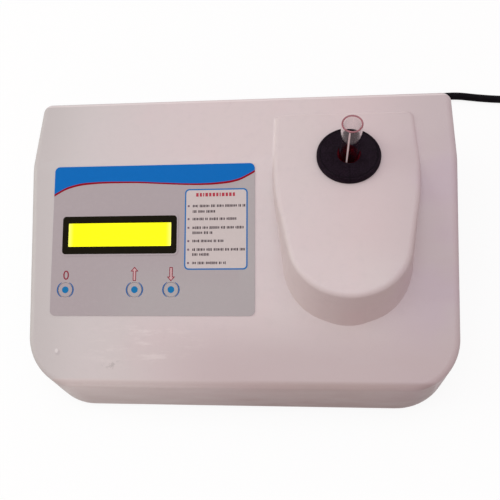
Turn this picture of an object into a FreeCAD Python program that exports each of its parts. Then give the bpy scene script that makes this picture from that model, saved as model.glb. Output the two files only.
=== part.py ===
import FreeCAD, Part
import math
import os

from FreeCAD import Placement, Rotation, Vector

# Digital colorimeter: a moulded bench instrument with a sloped keyboard panel, a sample well in a
# raised hump, and a mains lead. Millimetres. X runs to the right, Y to the rear, Z up, and the
# origin lies on the table under the middle of the instrument.

# Housing: a drafted shell, open at the bottom
rim_depth = 184.6
rim_half_front = 128.9
rim_half_rear = 134.3
rim_front_radius = 35.5
rim_rear_radius = 8.0
top_half_front = 126.9
top_half_rear = 132.3
top_front_radius = 22.0
top_rear_radius = 6.0
front_draft = 12.1
rear_draft = 2.0
housing_rise = 74.25
foot_height = 4.0
wall = 3.0
panel_slope = 18.62
strip_depth = 49.2
crease_radius = 25.0
edge_radius = 4.5

# Hump that carries the sample well
hump_x = 64.9
hump_rise = 1.7
hump_skirt = 40.0
hump_edge_radius = 3.4
hump_top_corners = [(42.6, 76.0), (43.7, 27.0), (29.5, -39.8), (0.0, -46.8)]
hump_skirt_corners = [(46.6, 77.5), (47.7, 26.5), (37.0, -42.9), (0.0, -54.9)]
hump_radii = [5.0, 160.0, 34.0, 34.0]

# Front overlay, with a window for the display; the panel's own zero is at the display's middle
panel_drop = 44.63
overlay_left = -114.9
overlay_right = 10.5
overlay_low = -49.3
overlay_high = 43.0
overlay_thickness = 0.4
overlay_radius = 3.2

# Display module
display_x = -72.7
bezel_width = 71.2
bezel_height = 24.2
bezel_proud = 0.2
bezel_sheet = 0.7
bezel_radius = 1.8
view_radius = 0.6
view_width = 64.5
view_height = 14.8
display_board_width = 80.0
display_board_height = 36.0
display_board_depth = 7.0
display_hole_x = 75.0
display_hole_y = 31.0
glass_thickness = 1.1
window_gap = 0.3

# Membrane keys
key_names = ("set_zero_key", "up_key", "down_key")
key_places = (-105.6, -62.4, -40.0)
key_row = -33.6
key_radius = 4.3
key_gap = 0.2
key_travel = 0.35
key_pocket = 0.7
stem_radius = 2.0
stem_hole_radius = 2.4
stem_end = 0.2
switch_gap = 0.65
switch_side = 6.0
switch_height = 3.5
switch_tip_radius = 1.7
switch_tip_height = 0.8
keypad_margin = 3.5
keypad_middle = 12.0
display_clearance = 0.3
keypad_width = 86.0
keypad_height = 17.0

# Sample well and tube
well_offset = 1.7
well_back = 42.5
collar_radius = 19.0
collar_height = 3.3
collar_chamfer = 0.9
collar_funnel = 0.8
neck_radius = 10.0
neck_gap = 0.3
tube_length = 75.0
tube_radius = 6.0
tube_wall = 1.0
tube_stand = 28.5
tube_gap = 0.3
holder_side = 30.0
holder_top_gap = 4.95
holder_floor = 3.4
flange_width = 48.0
flange_thickness = 4.0
flange_screw_x = 19.5
flange_screw_y = 10.5
beam_height = 50.0
beam_radius = 2.2
lamp_radius = 2.5
lamp_length = 7.4
lamp_seat_radius = 2.8
diode_radius = 4.1
diode_height = 4.2
optics_board_side = 26.0
optics_screw_x = 9.5

# Printed boards and what stands on them
board_thickness = 1.6
main_board_width = 120.0
main_board_depth = 84.0
main_board_side = 9.6
main_board_y = -13.0
main_board_post = 6.0
main_board_margin = 5.0
chip_stand = 0.8
pin_pitch = 2.54
controller_side = 42.0
controller_front = 30.0
controller_pin_count = 40
controller_width = 13.8
controller_height = 3.8
amplifier_sides = (16.0, 32.0)
amplifier_front = 24.0
amplifier_pin_count = 8
amplifier_width = 6.4
amplifier_height = 3.4
capacitor_cans = ((14.0, 5.0, 12.0), (28.0, 6.3, 20.0), (42.0, 4.0, 11.0))
capacitor_rear = 22.0
can_groove = 1.6
trimmer_sides = (22.0, 36.0)
trimmer_front = 42.0
trimmer_width = 9.5
trimmer_depth = 4.8
trimmer_height = 9.8
sink_side = 40.0
sink_rear = 18.0
sink_width = 22.0
sink_depth = 12.0
sink_height = 22.0
sink_sheet = 1.5
regulator_width = 10.0
regulator_depth = 4.4
regulator_tab = 1.3
regulator_stand = 4.0
terminal_side = 23.0
terminal_rear = 7.0
terminal_width = 20.0
terminal_depth = 8.0
terminal_height = 10.0
header_v = 14.0
header_width = 44.0
header_depth = 6.0
header_height = 7.0
ribbon_width = 40.0
ribbon_thickness = 1.0
ribbon_lead = 9.0
ribbon_bend = 4.0

# Base plate, its screws and feet
plate_thickness = 3.0
plate_gap = 0.4
base_boss_radius = 5.0
base_screw_front_inset = 20.9
base_screw_rear_inset = 40.3
base_screw_front = 24.0
base_screw_rear = 15.0
foot_radius = 8.0
foot_front_inset = 42.9
foot_rear_inset = 20.3
foot_front = 30.0
foot_rear = 24.0
foot_boss_radius = 4.0
foot_boss_height = 6.0
foot_recess = 2.2
slot_length = 34.0
slot_width = 3.0
slot_step = 7.0
slot_count = 7
slot_y = 8.0

# Screws, all one family
base_recess = 2.0
screw_depth = 12.0
base_screw_length = 11.0
foot_screw_length = 8.5
board_screw_length = 5.4
optics_screw_length = 6.5
holder_boss_radius = 3.5
board_boss_radius = 3.2
screw_radius = 1.5
screw_gap = 0.05
head_radius = 2.8
head_height = 1.8

# Transformer
core_width = 48.0
core_depth = 20.0
core_height = 40.0
core_leg = 8.0
winding_depth = 36.0
transformer_x = -52.0
transformer_y = 55.0
tab_length = 10.0
tab_thickness = 1.5
winding_gap = 0.3

# Fittings on the rear wall: height above the table, place along it
fitting_height = 26.0
switch_x = 30.0
switch_width = 15.0
switch_rise = 22.0
switch_bezel = 1.8
switch_body_width = 12.6
switch_body_rise = 19.4
switch_body_depth = 14.0
rocker_width = 10.2
rocker_rise = 15.2
rocker_depth = 3.0
rocker_crown = 3.6
rocker_back_radius = 14.0
rocker_end_radius = 1.2
rocker_lip = 2.6
rocker_gap = 0.4
rocker_room = 5.5
rocker_swing = 22.0
trunnion_radius = 1.2
trunnion_length = 0.5
trunnion_wall = 0.3
pivot_depth = -0.6
rocker_sweep = 1.8
running_gap = 0.05
fuse_x = 66.0
fuse_flange_radius = 8.0
fuse_flange_thickness = 2.2
fuse_thread_radius = 6.0
fuse_body_length = 27.0
fuse_cap_radius = 6.6
fuse_cap_height = 7.0
fuse_cap_gap = 0.3
fuse_cap_flutes = 12
fuse_bore_radius = 3.2
fuse_plug_length = 4.0
fuse_radius = 2.6
fuse_length = 20.0
fuse_end = 5.0

# Mains lead
cord_diameter = 5.6
gland_x = 113.0
gland_height = 14.0
gland_flange_radius = 6.8
gland_flange_thickness = 2.5
gland_neck_radius = 5.0
gland_inner_length = 5.0
sleeve_length = 17.5
sleeve_root_radius = 5.0
sleeve_tip_radius = 3.9
sleeve_rings = 4
coil_x = 247.5
coil_turn_radius = 40.3
coil_columns = 4
coil_layers = 2
bend_share = 0.45
cord_lead = 12.5
cord_route = [
    (117.6, 131.2, 11.4), (127.5, 139.1, 6.9), (142.8, 141.5, 3.4), (158.6, 143.2, 2.8),
    (173.8, 140.3, 2.8), (189.2, 138.2, 2.8), (205.7, 137.3, 2.8), (223.8, 137.0, 2.8),
    (242.0, 137.0, 2.8)]

# Plug with three round pins
plug_length = 38.0
plug_width = 36.0
plug_height = 34.0
plug_grip_length = 16.0
plug_neck = 16.0
plug_round = 8.0
plug_tail_length = 20.0
plug_tail_radius = 5.5
line_pin_radius = 2.55
line_pin_length = 15.0
line_pin_spacing = 19.0
earth_pin_radius = 3.55
earth_pin_length = 20.5
earth_pin_rise = 22.2
line_pin_rise = 7.0

# Worked-out places
slope = math.radians(panel_slope)
rear_tilt = math.atan(rear_draft / housing_rise)
fuse_reach = fuse_flange_thickness + fuse_cap_gap + fuse_cap_height
rear_reach = (fuse_reach * math.cos(rear_tilt) + fuse_cap_radius * math.sin(rear_tilt)
              - (fitting_height - foot_height) * math.tan(rear_tilt))
front_y = -(rim_depth + rear_reach) / 2
rear_y = front_y + rim_depth
top_front_y = front_y + front_draft
top_rear_y = rear_y - rear_draft
strip_z = foot_height + housing_rise
crease_y = top_rear_y - strip_depth
panel_y = crease_y - panel_drop * math.cos(slope)
panel_z = strip_z - panel_drop * math.sin(slope)
hump_z = strip_z + hump_rise
well_x = hump_x + well_offset
well_y = panel_y + well_back
plate_top = foot_height + plate_thickness
collar_top = hump_z + collar_height
tube_top = collar_top + tube_stand
tube_bottom = tube_top - tube_length
holder_top = hump_z - wall - holder_top_gap
holder_bottom = tube_bottom - tube_gap - holder_floor
keypad_top = -wall - stem_end - switch_gap - switch_tip_height - switch_height
keypad_x = (key_places[0] + key_places[-1]) / 2
coil_y = cord_route[-1][1] - coil_turn_radius
main_board_x = main_board_side + main_board_width / 2 - (rim_half_front + rim_half_rear) / 2

os.makedirs("parts", exist_ok=True)
print("instrument: front %.2f, rear %.2f, panel zero %.2f %.2f, strip %.2f"
      % (front_y, rear_y, panel_y, panel_z, strip_z))


def save(name, shape):
    solids = shape.Solids
    assert solids and all(s.isValid() for s in solids), name
    if len(solids) == 1:
        solids[0].exportStep("parts/%s.step" % name)
    else:
        Part.makeCompound(solids).exportStep("parts/%s.step" % name)


def corner_arcs(points, radii, closed):
    """Edges of a polygon whose corners are rounded by tangent arcs."""
    count = len(points)
    edges = []
    joints = []
    for i, corner in enumerate(points):
        if not closed and i in (0, count - 1):
            joints.append((corner, None, corner))
            continue
        if radii[i] == 0:
            joints.append((corner, None, corner))
            continue
        back = (points[i - 1] - corner).normalize()
        ahead = (points[(i + 1) % count] - corner).normalize()
        half = back.getAngle(ahead) / 2
        reach = radii[i] / math.tan(half)
        middle = (back + ahead).normalize() * (radii[i] / math.sin(half) - radii[i])
        joints.append((corner + back * reach, corner + middle, corner + ahead * reach))
    for i, (start, middle, end) in enumerate(joints):
        if middle is not None:
            edges.append(Part.Arc(start, middle, end).toShape())
        if closed or i < count - 1:
            following = joints[(i + 1) % count][0]
            if (following - end).Length > 1e-6:
                edges.append(Part.LineSegment(end, following).toShape())
    return edges


def outline(points, radii, z):
    corners = [Vector(x, y, z) for x, y in points]
    return Part.Wire(corner_arcs(corners, radii, True))


def mirrored(right_side):
    """A right-hand run of corners, front to rear, closed by its mirror image."""
    return right_side + [(-x, y) for x, y in reversed(right_side)]


def shifted(points, x, y):
    return [(px + x, py + y) for px, py in points]


def loft(low, high):
    return Part.makeLoft([low, high], True, True)


def block(x, y, z, width, depth, height):
    """A box centred on x and y that stands on z."""
    return Part.makeBox(width, depth, height, Vector(x - width / 2, y - depth / 2, z))


def rounded_block(x, y, z, width, depth, height, radius):
    half_x = width / 2
    half_y = depth / 2
    corners = shifted([(half_x, -half_y), (half_x, half_y), (-half_x, half_y), (-half_x, -half_y)], x, y)
    return Part.Face(outline(corners, [radius] * 4, z)).extrude(Vector(0, 0, height))


def rod(x, y, z, radius, height):
    return Part.makeCylinder(radius, height, Vector(x, y, z))


def turned(profile):
    """A solid of revolution about Z from (radius, z) corners."""
    corners = [Vector(r, 0, z) for r, z in profile]
    face = Part.Face(Part.makePolygon(corners + [corners[0]]))
    return face.revolve(Vector(0, 0, 0), Vector(0, 0, 1), 360)


def screw(x, y, seat, length, up=1):
    """A pan-head screw whose head sits on the face at seat; its shank runs up or down from there."""
    crown = head_radius * 0.62
    body = turned([(0, -head_height), (crown, -head_height), (head_radius, -head_height * 0.45),
                   (head_radius, 0), (screw_radius, 0), (screw_radius, length), (0, length)])
    if up < 0:
        body.rotate(Vector(0, 0, 0), Vector(1, 0, 0), 180)
    body.translate(Vector(x, y, seat))
    return body


def on_panel(shape):
    """From the panel's own frame (x, up the slope, out of the panel) to its place."""
    shape.Placement = Placement(Vector(0, panel_y, panel_z), Rotation(Vector(1, 0, 0), panel_slope)) \
        .multiply(shape.Placement)
    return shape


def on_rear(shape, x, height):
    """From a frame whose Z points straight out of the rear wall, and whose Y points down it."""
    place = Vector(x, rear_y - (height - foot_height) * math.tan(rear_tilt), height)
    turn = Rotation(Vector(1, 0, 0), -90 + math.degrees(rear_tilt))
    shape.Placement = Placement(place, turn).multiply(shape.Placement)
    return shape


def panel_height(y):
    return strip_z - max(0.0, crease_y - y) * math.tan(slope)


def shell_body(inset, drop):
    """The housing's form, moved inwards by inset and lowered by drop."""
    rim = mirrored([(rim_half_front - inset, front_y + inset), (rim_half_rear - inset, rear_y - inset)])
    top = mirrored([(top_half_front - inset, top_front_y + inset), (top_half_rear - inset, top_rear_y - inset)])
    rim_radii = [rim_front_radius - inset, rim_rear_radius - inset]
    top_radii = [top_front_radius - inset, top_rear_radius - inset]
    body = loft(outline(rim, rim_radii + rim_radii[::-1], foot_height),
                outline(top, top_radii + top_radii[::-1], strip_z))
    far = 200.0
    low_z = strip_z - drop - (crease_y + far) * math.tan(slope)
    corners = [Vector(-far, -far, low_z), Vector(-far, crease_y, strip_z - drop),
               Vector(-far, far, strip_z - drop)]
    roof = corner_arcs(corners, [0, crease_radius, 0], False)
    sky = [Vector(-far, far, far), Vector(-far, -far, far)]
    sides = [Part.LineSegment(a, b).toShape()
             for a, b in ((corners[2], sky[0]), (sky[0], sky[1]), (sky[1], corners[0]))]
    above = Part.Face(Part.Wire(roof + sides)).extrude(Vector(2 * far, 0, 0))
    return body.cut(above)


def hump_body(inset, drop):
    """The tongue-shaped hump: rear corners, long sides, front shoulders and a shallow nose."""

    def ring(corners, z):
        grown = []
        for x, y in corners:
            side = 1 if y > 0 else -1
            grown.append((max(0.0, x - inset * (0.8 if x > 0 else 0)), y - side * inset))
        left = [(-x, y) for x, y in reversed(grown[:-1])]
        sizes = [r - inset for r in hump_radii]
        points = shifted(grown + left, hump_x, panel_y)
        return outline(points, sizes + sizes[-2::-1], z)

    body = loft(ring(hump_skirt_corners, hump_z - hump_skirt - drop), ring(hump_top_corners, hump_z - drop))
    rim = [e for e in body.Edges if all(abs(v.Z - (hump_z - drop)) < 1e-4 for v in e.Vertexes)]
    return body.makeFillet(hump_edge_radius - min(inset, hump_edge_radius - 1.0), rim)


def on_roof(edge):
    """Whether an edge of the housing's form runs round its roof, and not across it at the crease."""
    ends = [v.Point for v in edge.Vertexes]
    near = all(abs(p.z - panel_height(p.y)) < crease_radius * 0.1 for p in ends)
    across = len(ends) == 2 and abs(ends[0].y - ends[1].y) < 1e-3 and abs(ends[0].y - crease_y) < crease_radius
    return near and not across


def base_screw_places():
    front = front_y + base_screw_front
    rear = rear_y - base_screw_rear
    corners = ((rim_half_front - base_screw_front_inset, front), (rim_half_rear - base_screw_rear_inset, rear))
    return [(side * x, y) for x, y in corners for side in (-1, 1)] + [(0.0, front), (0.0, rear)]


def foot_places():
    front = front_y + foot_front
    rear = rear_y - foot_rear
    front_x = rim_half_front - foot_front_inset
    rear_x = rim_half_rear - foot_rear_inset
    return {"foot_front_left": (-front_x, front), "foot_front_right": (front_x, front),
            "foot_rear_left": (-rear_x, rear), "foot_rear_right": (rear_x, rear)}


def flange_screw_places():
    return [(well_x + sx * flange_screw_x, well_y + sy * flange_screw_y) for sx in (-1, 1) for sy in (-1, 1)]


def display_screw_places():
    return [(display_x + sx * display_hole_x / 2, sy * display_hole_y / 2) for sx in (-1, 1) for sy in (-1, 1)]


def keypad_screw_places():
    edge = keypad_width / 2 - keypad_margin
    return [(keypad_x - edge, key_row), (keypad_x - keypad_middle, key_row), (keypad_x + edge, key_row)]


def main_board_screw_places():
    half_x = main_board_width / 2 - main_board_margin
    half_y = main_board_depth / 2 - main_board_margin
    return [(main_board_x + sx * half_x, main_board_y + sy * half_y) for sx in (-1, 1) for sy in (-1, 1)]


def bracket_screw_places():
    reach = core_width / 2 + tab_thickness + tab_length / 2
    return [(transformer_x + side * reach, transformer_y) for side in (-1, 1)]


def display_window(low, height):
    """The cut-out for the display's bezel, in the panel's frame."""
    return rounded_block(display_x, 0, low, bezel_width + 2 * window_gap, bezel_height + 2 * window_gap,
                         height, bezel_radius + window_gap)


def make_housing():
    form = shell_body(0, 0)
    form = form.makeFillet(edge_radius, [e for e in form.Edges if on_roof(e)]).fuse(hump_body(0, 0))
    cavity = shell_body(wall, wall).fuse(hump_body(wall, wall))
    posts = []
    holes = []
    for x, y in base_screw_places():
        posts.append(rod(x, y, plate_top, base_boss_radius, strip_z))
        holes.append(rod(x, y, plate_top - 1, screw_radius + screw_gap, screw_depth + 1))
    for x, y in flange_screw_places():
        posts.append(rod(x, y, holder_top, holder_boss_radius, wall + holder_top_gap))
        holes.append(rod(x, y, holder_top - 1, screw_radius + screw_gap, holder_top_gap + 1))
    board_post = display_board_depth - wall
    for x, v in display_screw_places():
        posts.append(on_panel(rod(x, v, -display_board_depth, board_boss_radius, board_post + wall / 2)))
        holes.append(on_panel(rod(x, v, -display_board_depth - 1, screw_radius + screw_gap, board_post + 1.5)))
    for x, v in keypad_screw_places():
        posts.append(on_panel(rod(x, v, keypad_top, board_boss_radius, -keypad_top - wall / 2)))
        holes.append(on_panel(rod(x, v, keypad_top - 1, screw_radius + screw_gap, -wall - keypad_top + 1.5)))
    shell = form.cut(cavity)
    for post in posts:
        shell = shell.fuse(post.common(cavity))
    holes.append(on_panel(display_window(-2 * wall, 3 * wall)))
    for x in key_places:
        holes.append(on_panel(rod(x, key_row, -key_pocket, key_radius + key_gap, 2 * wall)))
        holes.append(on_panel(rod(x, key_row, -2 * wall, stem_hole_radius, 3 * wall)))
    holes.append(rod(well_x, well_y, holder_top, neck_radius + neck_gap, 3 * wall + holder_top_gap))
    holes.append(on_rear(block(0, 0, -2 * wall, switch_body_width + 2 * window_gap,
                               switch_body_rise + 2 * window_gap, 3 * wall), switch_x, fitting_height))
    holes.append(on_rear(rod(0, 0, -2 * wall, fuse_thread_radius + window_gap, 3 * wall), fuse_x, fitting_height))
    holes.append(on_rear(rod(0, 0, -2 * wall, gland_neck_radius + window_gap, 3 * wall), gland_x, gland_height))
    return shell.cut(holes).removeSplitter()


def make_base_plate():
    slab = block(0, 0, foot_height, 3 * rim_half_rear, 3 * rim_half_rear, plate_thickness)
    plate = shell_body(wall + plate_gap, 0).common(slab)
    holes = []
    clear = screw_radius + 4 * screw_gap
    for x, y in base_screw_places():
        holes.append(rod(x, y, foot_height - 1, clear, plate_thickness + 2))
        holes.append(rod(x, y, foot_height - 1, head_radius + window_gap, base_recess + 1))
    for x, y in foot_places().values():
        plate = plate.fuse(rod(x, y, plate_top, foot_boss_radius, foot_boss_height))
        holes.append(rod(x, y, foot_height - 1, screw_radius + screw_gap, plate_thickness + foot_boss_height))
    for x, y in main_board_screw_places():
        plate = plate.fuse(rod(x, y, plate_top, board_boss_radius, main_board_post))
        holes.append(rod(x, y, plate_top, screw_radius + screw_gap, main_board_post + 1))
    for x, y in bracket_screw_places():
        holes.append(rod(x, y, foot_height - 1, screw_radius + screw_gap, plate_thickness + 2))
    for i in range(slot_count):
        y = slot_y + (i - (slot_count - 1) / 2) * slot_step
        for x in (transformer_x, hump_x):
            holes.append(rounded_block(x, y, foot_height - 1, slot_length, slot_width, plate_thickness + 2,
                                       slot_width * 0.45))
    return plate.cut(holes)


def make_foot(x, y):
    foot = turned([(0, 0), (foot_radius - 1.2, 0), (foot_radius, 1.2), (foot_radius, foot_height), (0, foot_height)])
    foot = foot.cut([rod(0, 0, -1, head_radius + window_gap, foot_recess + 1),
                     rod(0, 0, -1, screw_radius + screw_gap, foot_height + 2)])
    foot.translate(Vector(x, y, 0))
    return foot


def make_overlay():
    x = (overlay_left + overlay_right) / 2
    v = (overlay_low + overlay_high) / 2
    sheet = rounded_block(x, v, 0, overlay_right - overlay_left, overlay_high - overlay_low,
                          overlay_thickness, overlay_radius)
    holes = [display_window(-1, 3)]
    holes += [rod(kx, key_row, -1, key_radius + key_gap, 3) for kx in key_places]
    return on_panel(sheet.cut(holes))


def make_display():
    """Bezel, glass, backlight and board, in the panel's frame."""
    top = overlay_thickness + bezel_proud
    height = top + display_board_depth
    glass_top = top - bezel_sheet
    bezel = rounded_block(display_x, 0, -display_board_depth, bezel_width, bezel_height, height, bezel_radius)
    inner = block(display_x, 0, -display_board_depth - 1, bezel_width - 2 * bezel_sheet,
                  bezel_height - 2 * bezel_sheet, height + 1 - bezel_sheet)
    view = rounded_block(display_x, 0, glass_top - 1, view_width, view_height, 3, view_radius)
    save("lcd_bezel", on_panel(bezel.cut([inner, view])))
    inside_width = bezel_width - 2 * bezel_sheet - 2 * display_clearance
    inside_height = bezel_height - 2 * bezel_sheet - 2 * display_clearance
    save("lcd_glass", on_panel(block(display_x, 0, glass_top - glass_thickness, inside_width, inside_height,
                                     glass_thickness)))
    guide = glass_top - glass_thickness + display_board_depth
    save("lcd_backlight", on_panel(block(display_x, 0, -display_board_depth, inside_width, inside_height, guide)))
    board = block(display_x, 0, -display_board_depth - board_thickness, display_board_width,
                  display_board_height, board_thickness)
    board = board.cut([rod(x, v, -2 * display_board_depth, screw_radius + screw_gap, 2 * display_board_depth)
                       for x, v in display_screw_places()])
    save("lcd_board", on_panel(board))
    seat = -display_board_depth - board_thickness
    save("lcd_screws", Part.makeCompound([on_panel(screw(x, v, seat, board_screw_length))
                                          for x, v in display_screw_places()]))


def make_keys():
    stem_length = wall + stem_end
    for name, x in zip(key_names, key_places):
        key = rod(x, key_row, 0, key_radius, overlay_thickness)
        save(name, on_panel(key.fuse(rod(x, key_row, -stem_length, stem_radius, stem_length))))
    board = block(keypad_x, key_row, keypad_top - board_thickness, keypad_width, keypad_height, board_thickness)
    board = board.cut([rod(x, v, keypad_top - 2 * board_thickness, screw_radius + screw_gap, 4 * board_thickness)
                       for x, v in keypad_screw_places()])
    save("keypad_board", on_panel(board))
    switches = []
    for x in key_places:
        body = rounded_block(x, key_row, keypad_top, switch_side, switch_side, switch_height, 0.6)
        tip = rod(x, key_row, keypad_top + switch_height, switch_tip_radius, switch_tip_height)
        switches.append(on_panel(body.fuse(tip)))
    save("key_switches", Part.makeCompound(switches))
    seat = keypad_top - board_thickness
    save("keypad_screws", Part.makeCompound([on_panel(screw(x, v, seat, board_screw_length))
                                             for x, v in keypad_screw_places()]))


def sideways(shape, x, facing):
    """From a frame whose Z points along the light beam to the well's side face at x."""
    shape.Placement = Placement(Vector(x, well_y, beam_height), Rotation(Vector(0, 1, 0), 90 * facing)) \
        .multiply(shape.Placement)
    return shape


def make_well():
    lip = collar_radius - collar_chamfer
    bore = tube_radius + tube_gap
    profile = [(bore, holder_top - hump_z), (neck_radius, holder_top - hump_z), (neck_radius, 0),
               (collar_radius, 0), (collar_radius, collar_height * 0.55), (lip + 0.25, collar_height * 0.7),
               (lip, collar_height), (bore + collar_funnel, collar_height), (bore, collar_height - collar_funnel)]
    collar = turned(profile)
    collar.translate(Vector(well_x, well_y, hump_z))
    save("tube_collar", collar)

    body = block(well_x, well_y, holder_bottom, holder_side, holder_side, holder_top - holder_bottom)
    flange = rounded_block(well_x, well_y, holder_top - flange_thickness, flange_width, holder_side,
                           flange_thickness, 3.0)
    side = holder_side / 2
    holes = [rod(well_x, well_y, tube_bottom - tube_gap, bore, tube_length),
             sideways(rod(0, 0, -holder_side, beam_radius, 2 * holder_side), well_x, 1),
             sideways(rod(0, 0, -lamp_length - tube_gap, lamp_seat_radius, holder_side), well_x - side, -1),
             sideways(rod(0, 0, -diode_height - tube_gap, diode_radius + tube_gap, holder_side), well_x + side, 1)]
    for facing in (-1, 1):
        for across in (-1, 1):
            holes.append(sideways(rod(0, across * optics_screw_x, -optics_screw_length, screw_radius + screw_gap,
                                      holder_side), well_x + facing * side, facing))
    holes += [rod(x, y, holder_top - 2 * flange_thickness, screw_radius + screw_gap, 3 * flange_thickness)
              for x, y in flange_screw_places()]
    save("tube_holder", body.fuse(flange).cut(holes))
    seat = holder_top - flange_thickness
    save("holder_screws", Part.makeCompound([screw(x, y, seat, flange_thickness + holder_top_gap - 1)
                                             for x, y in flange_screw_places()]))

    screws = []
    for name, facing in (("lamp_board", -1), ("detector_board", 1)):
        board = block(0, 0, 0, optics_board_side * 0.7, optics_board_side, board_thickness)
        board = board.cut([rod(0, across * optics_screw_x, -1, screw_radius + screw_gap, 4) for across in (-1, 1)])
        save(name, sideways(board, well_x + facing * side, facing))
        for across in (-1, 1):
            pin = screw(0, across * optics_screw_x, board_thickness, optics_screw_length, -1)
            screws.append(sideways(pin, well_x + facing * side, facing))
    save("optics_screws", Part.makeCompound(screws))
    lamp = turned([(0, -lamp_length), (lamp_radius * 0.6, -lamp_length + 0.5), (lamp_radius, -lamp_length + 1.9),
                   (lamp_radius, 0), (0, 0)])
    save("lamp_led", sideways(lamp, well_x - side, -1))
    diode = turned([(0, -diode_height), (diode_radius - 1.0, -diode_height), (diode_radius - 1.0, -1.0),
                    (diode_radius, -1.0), (diode_radius, 0), (0, 0)])
    save("photodiode", sideways(diode, well_x + side, 1))


def make_tube():
    """A round-bottomed test tube with a fire-polished rim, turned about its own axis."""
    inner = tube_radius - tube_wall
    bead = tube_wall / 2
    low = tube_bottom + tube_radius
    points = {"outer_low": Vector(0, 0, tube_bottom), "outer_mid": Vector(tube_radius / math.sqrt(2), 0,
              low - tube_radius / math.sqrt(2)), "outer_high": Vector(tube_radius, 0, low),
              "inner_low": Vector(0, 0, tube_bottom + tube_wall), "inner_mid": Vector(inner / math.sqrt(2), 0,
              low - inner / math.sqrt(2)), "inner_high": Vector(inner, 0, low)}
    rim = tube_top - bead
    edges = [Part.Arc(points["outer_low"], points["outer_mid"], points["outer_high"]).toShape(),
             Part.LineSegment(points["outer_high"], Vector(tube_radius, 0, rim)).toShape(),
             Part.Arc(Vector(tube_radius, 0, rim), Vector(inner + bead, 0, tube_top), Vector(inner, 0, rim)).toShape(),
             Part.LineSegment(Vector(inner, 0, rim), points["inner_high"]).toShape(),
             Part.Arc(points["inner_high"], points["inner_mid"], points["inner_low"]).toShape(),
             Part.LineSegment(points["inner_low"], points["outer_low"]).toShape()]
    glass = Part.Face(Part.Wire(edges)).revolve(Vector(0, 0, 0), Vector(0, 0, 1), 360)
    glass.translate(Vector(well_x, well_y, 0))
    return glass


def chip(x, y, z, pins, width, body_height):
    """A dual in-line chip that stands on its pins."""
    length = pins / 2 * pin_pitch
    body = block(x, y, z + chip_stand, length, width, body_height)
    notch = rod(x - length / 2, y, z + chip_stand + body_height - 0.8, 1.2, 2)
    body = body.cut(notch)
    legs = []
    for i in range(int(pins / 2)):
        for side in (-1, 1):
            legs.append(block(x - length / 2 + (i + 0.5) * pin_pitch, y + side * (width / 2 + 0.15), z, 0.6, 0.5,
                              chip_stand + body_height / 2))
    return body.fuse(legs)


def make_electronics():
    base = plate_top + main_board_post
    top = base + board_thickness
    left = main_board_x - main_board_width / 2
    right = left + main_board_width
    front = main_board_y - main_board_depth / 2
    rear = front + main_board_depth
    board = block(main_board_x, main_board_y, base, main_board_width, main_board_depth, board_thickness)
    board = board.cut([rod(x, y, base - 1, screw_radius + screw_gap, board_thickness + 2)
                       for x, y in main_board_screw_places()])
    save("main_board", board)
    save("main_board_screws", Part.makeCompound([screw(x, y, top, board_thickness + main_board_post - 1, -1)
                                                 for x, y in main_board_screw_places()]))
    save("microcontroller", chip(left + controller_side, front + controller_front, top, controller_pin_count,
                                 controller_width, controller_height))
    save("amplifier_chips", Part.makeCompound(
        [chip(right - side, front + amplifier_front, top, amplifier_pin_count, amplifier_width,
              amplifier_height)
         for side in amplifier_sides]))
    cans = []
    for side, radius, height in capacitor_cans:
        x = right - side
        y = rear - capacitor_rear
        groove = rod(x, y, top + can_groove, radius + 1, can_groove / 2)
        cans.append(rod(x, y, top, radius, height).cut(groove.cut(rod(x, y, top, radius - 0.4, height))))
    save("capacitors", Part.makeCompound(cans))
    trimmers = []
    for side in trimmer_sides:
        x = right - side
        body = block(x, front + trimmer_front, top, trimmer_width, trimmer_depth, trimmer_height)
        trimmers.append(body.fuse(rod(x + trimmer_width / 3, front + trimmer_front, top, 1.2, trimmer_height + 1)))
    save("trim_pots", Part.makeCompound(trimmers))

    sink_x = left + sink_side
    sink_y = rear - sink_rear
    inside = block(sink_x, sink_y - sink_sheet, top - 1, sink_width - 2 * sink_sheet, sink_depth, sink_height + 2)
    save("heat_sink", block(sink_x, sink_y, top, sink_width, sink_depth, sink_height).cut(inside))
    back = sink_y + sink_depth / 2 - sink_sheet
    low = top + regulator_stand
    tab = block(sink_x, back - regulator_tab / 2, low, regulator_width, regulator_tab, 1.7 * regulator_width / 1.1)
    package = block(sink_x, back - regulator_depth / 2, low, regulator_width, regulator_depth, regulator_width * 0.9)
    legs = [block(sink_x + step * pin_pitch, back - regulator_depth / 2, top, 0.9, 0.6, regulator_stand + 1)
            for step in (-1, 0, 1)]
    save("voltage_regulator", tab.fuse([package] + legs))

    x = right - terminal_side
    y = rear - terminal_rear
    terminal = block(x, y, top, terminal_width, terminal_depth, terminal_height)
    pitch = terminal_width / 3
    for step in (-1, 0, 1):
        mouth = block(x + step * pitch, y + terminal_depth / 2, top + 1, pitch * 0.55, terminal_depth,
                      terminal_height * 0.4)
        terminal = terminal.cut([mouth, rod(x + step * pitch, y, top + terminal_height - 1, pitch * 0.27, 3)])
    save("terminal_block", terminal)


def panel_point(v, w):
    """A point of the panel's frame in the plane x = 0."""
    return Vector(0, panel_y + v * math.cos(slope) - w * math.sin(slope),
                  panel_z + v * math.sin(slope) + w * math.cos(slope))


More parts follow.
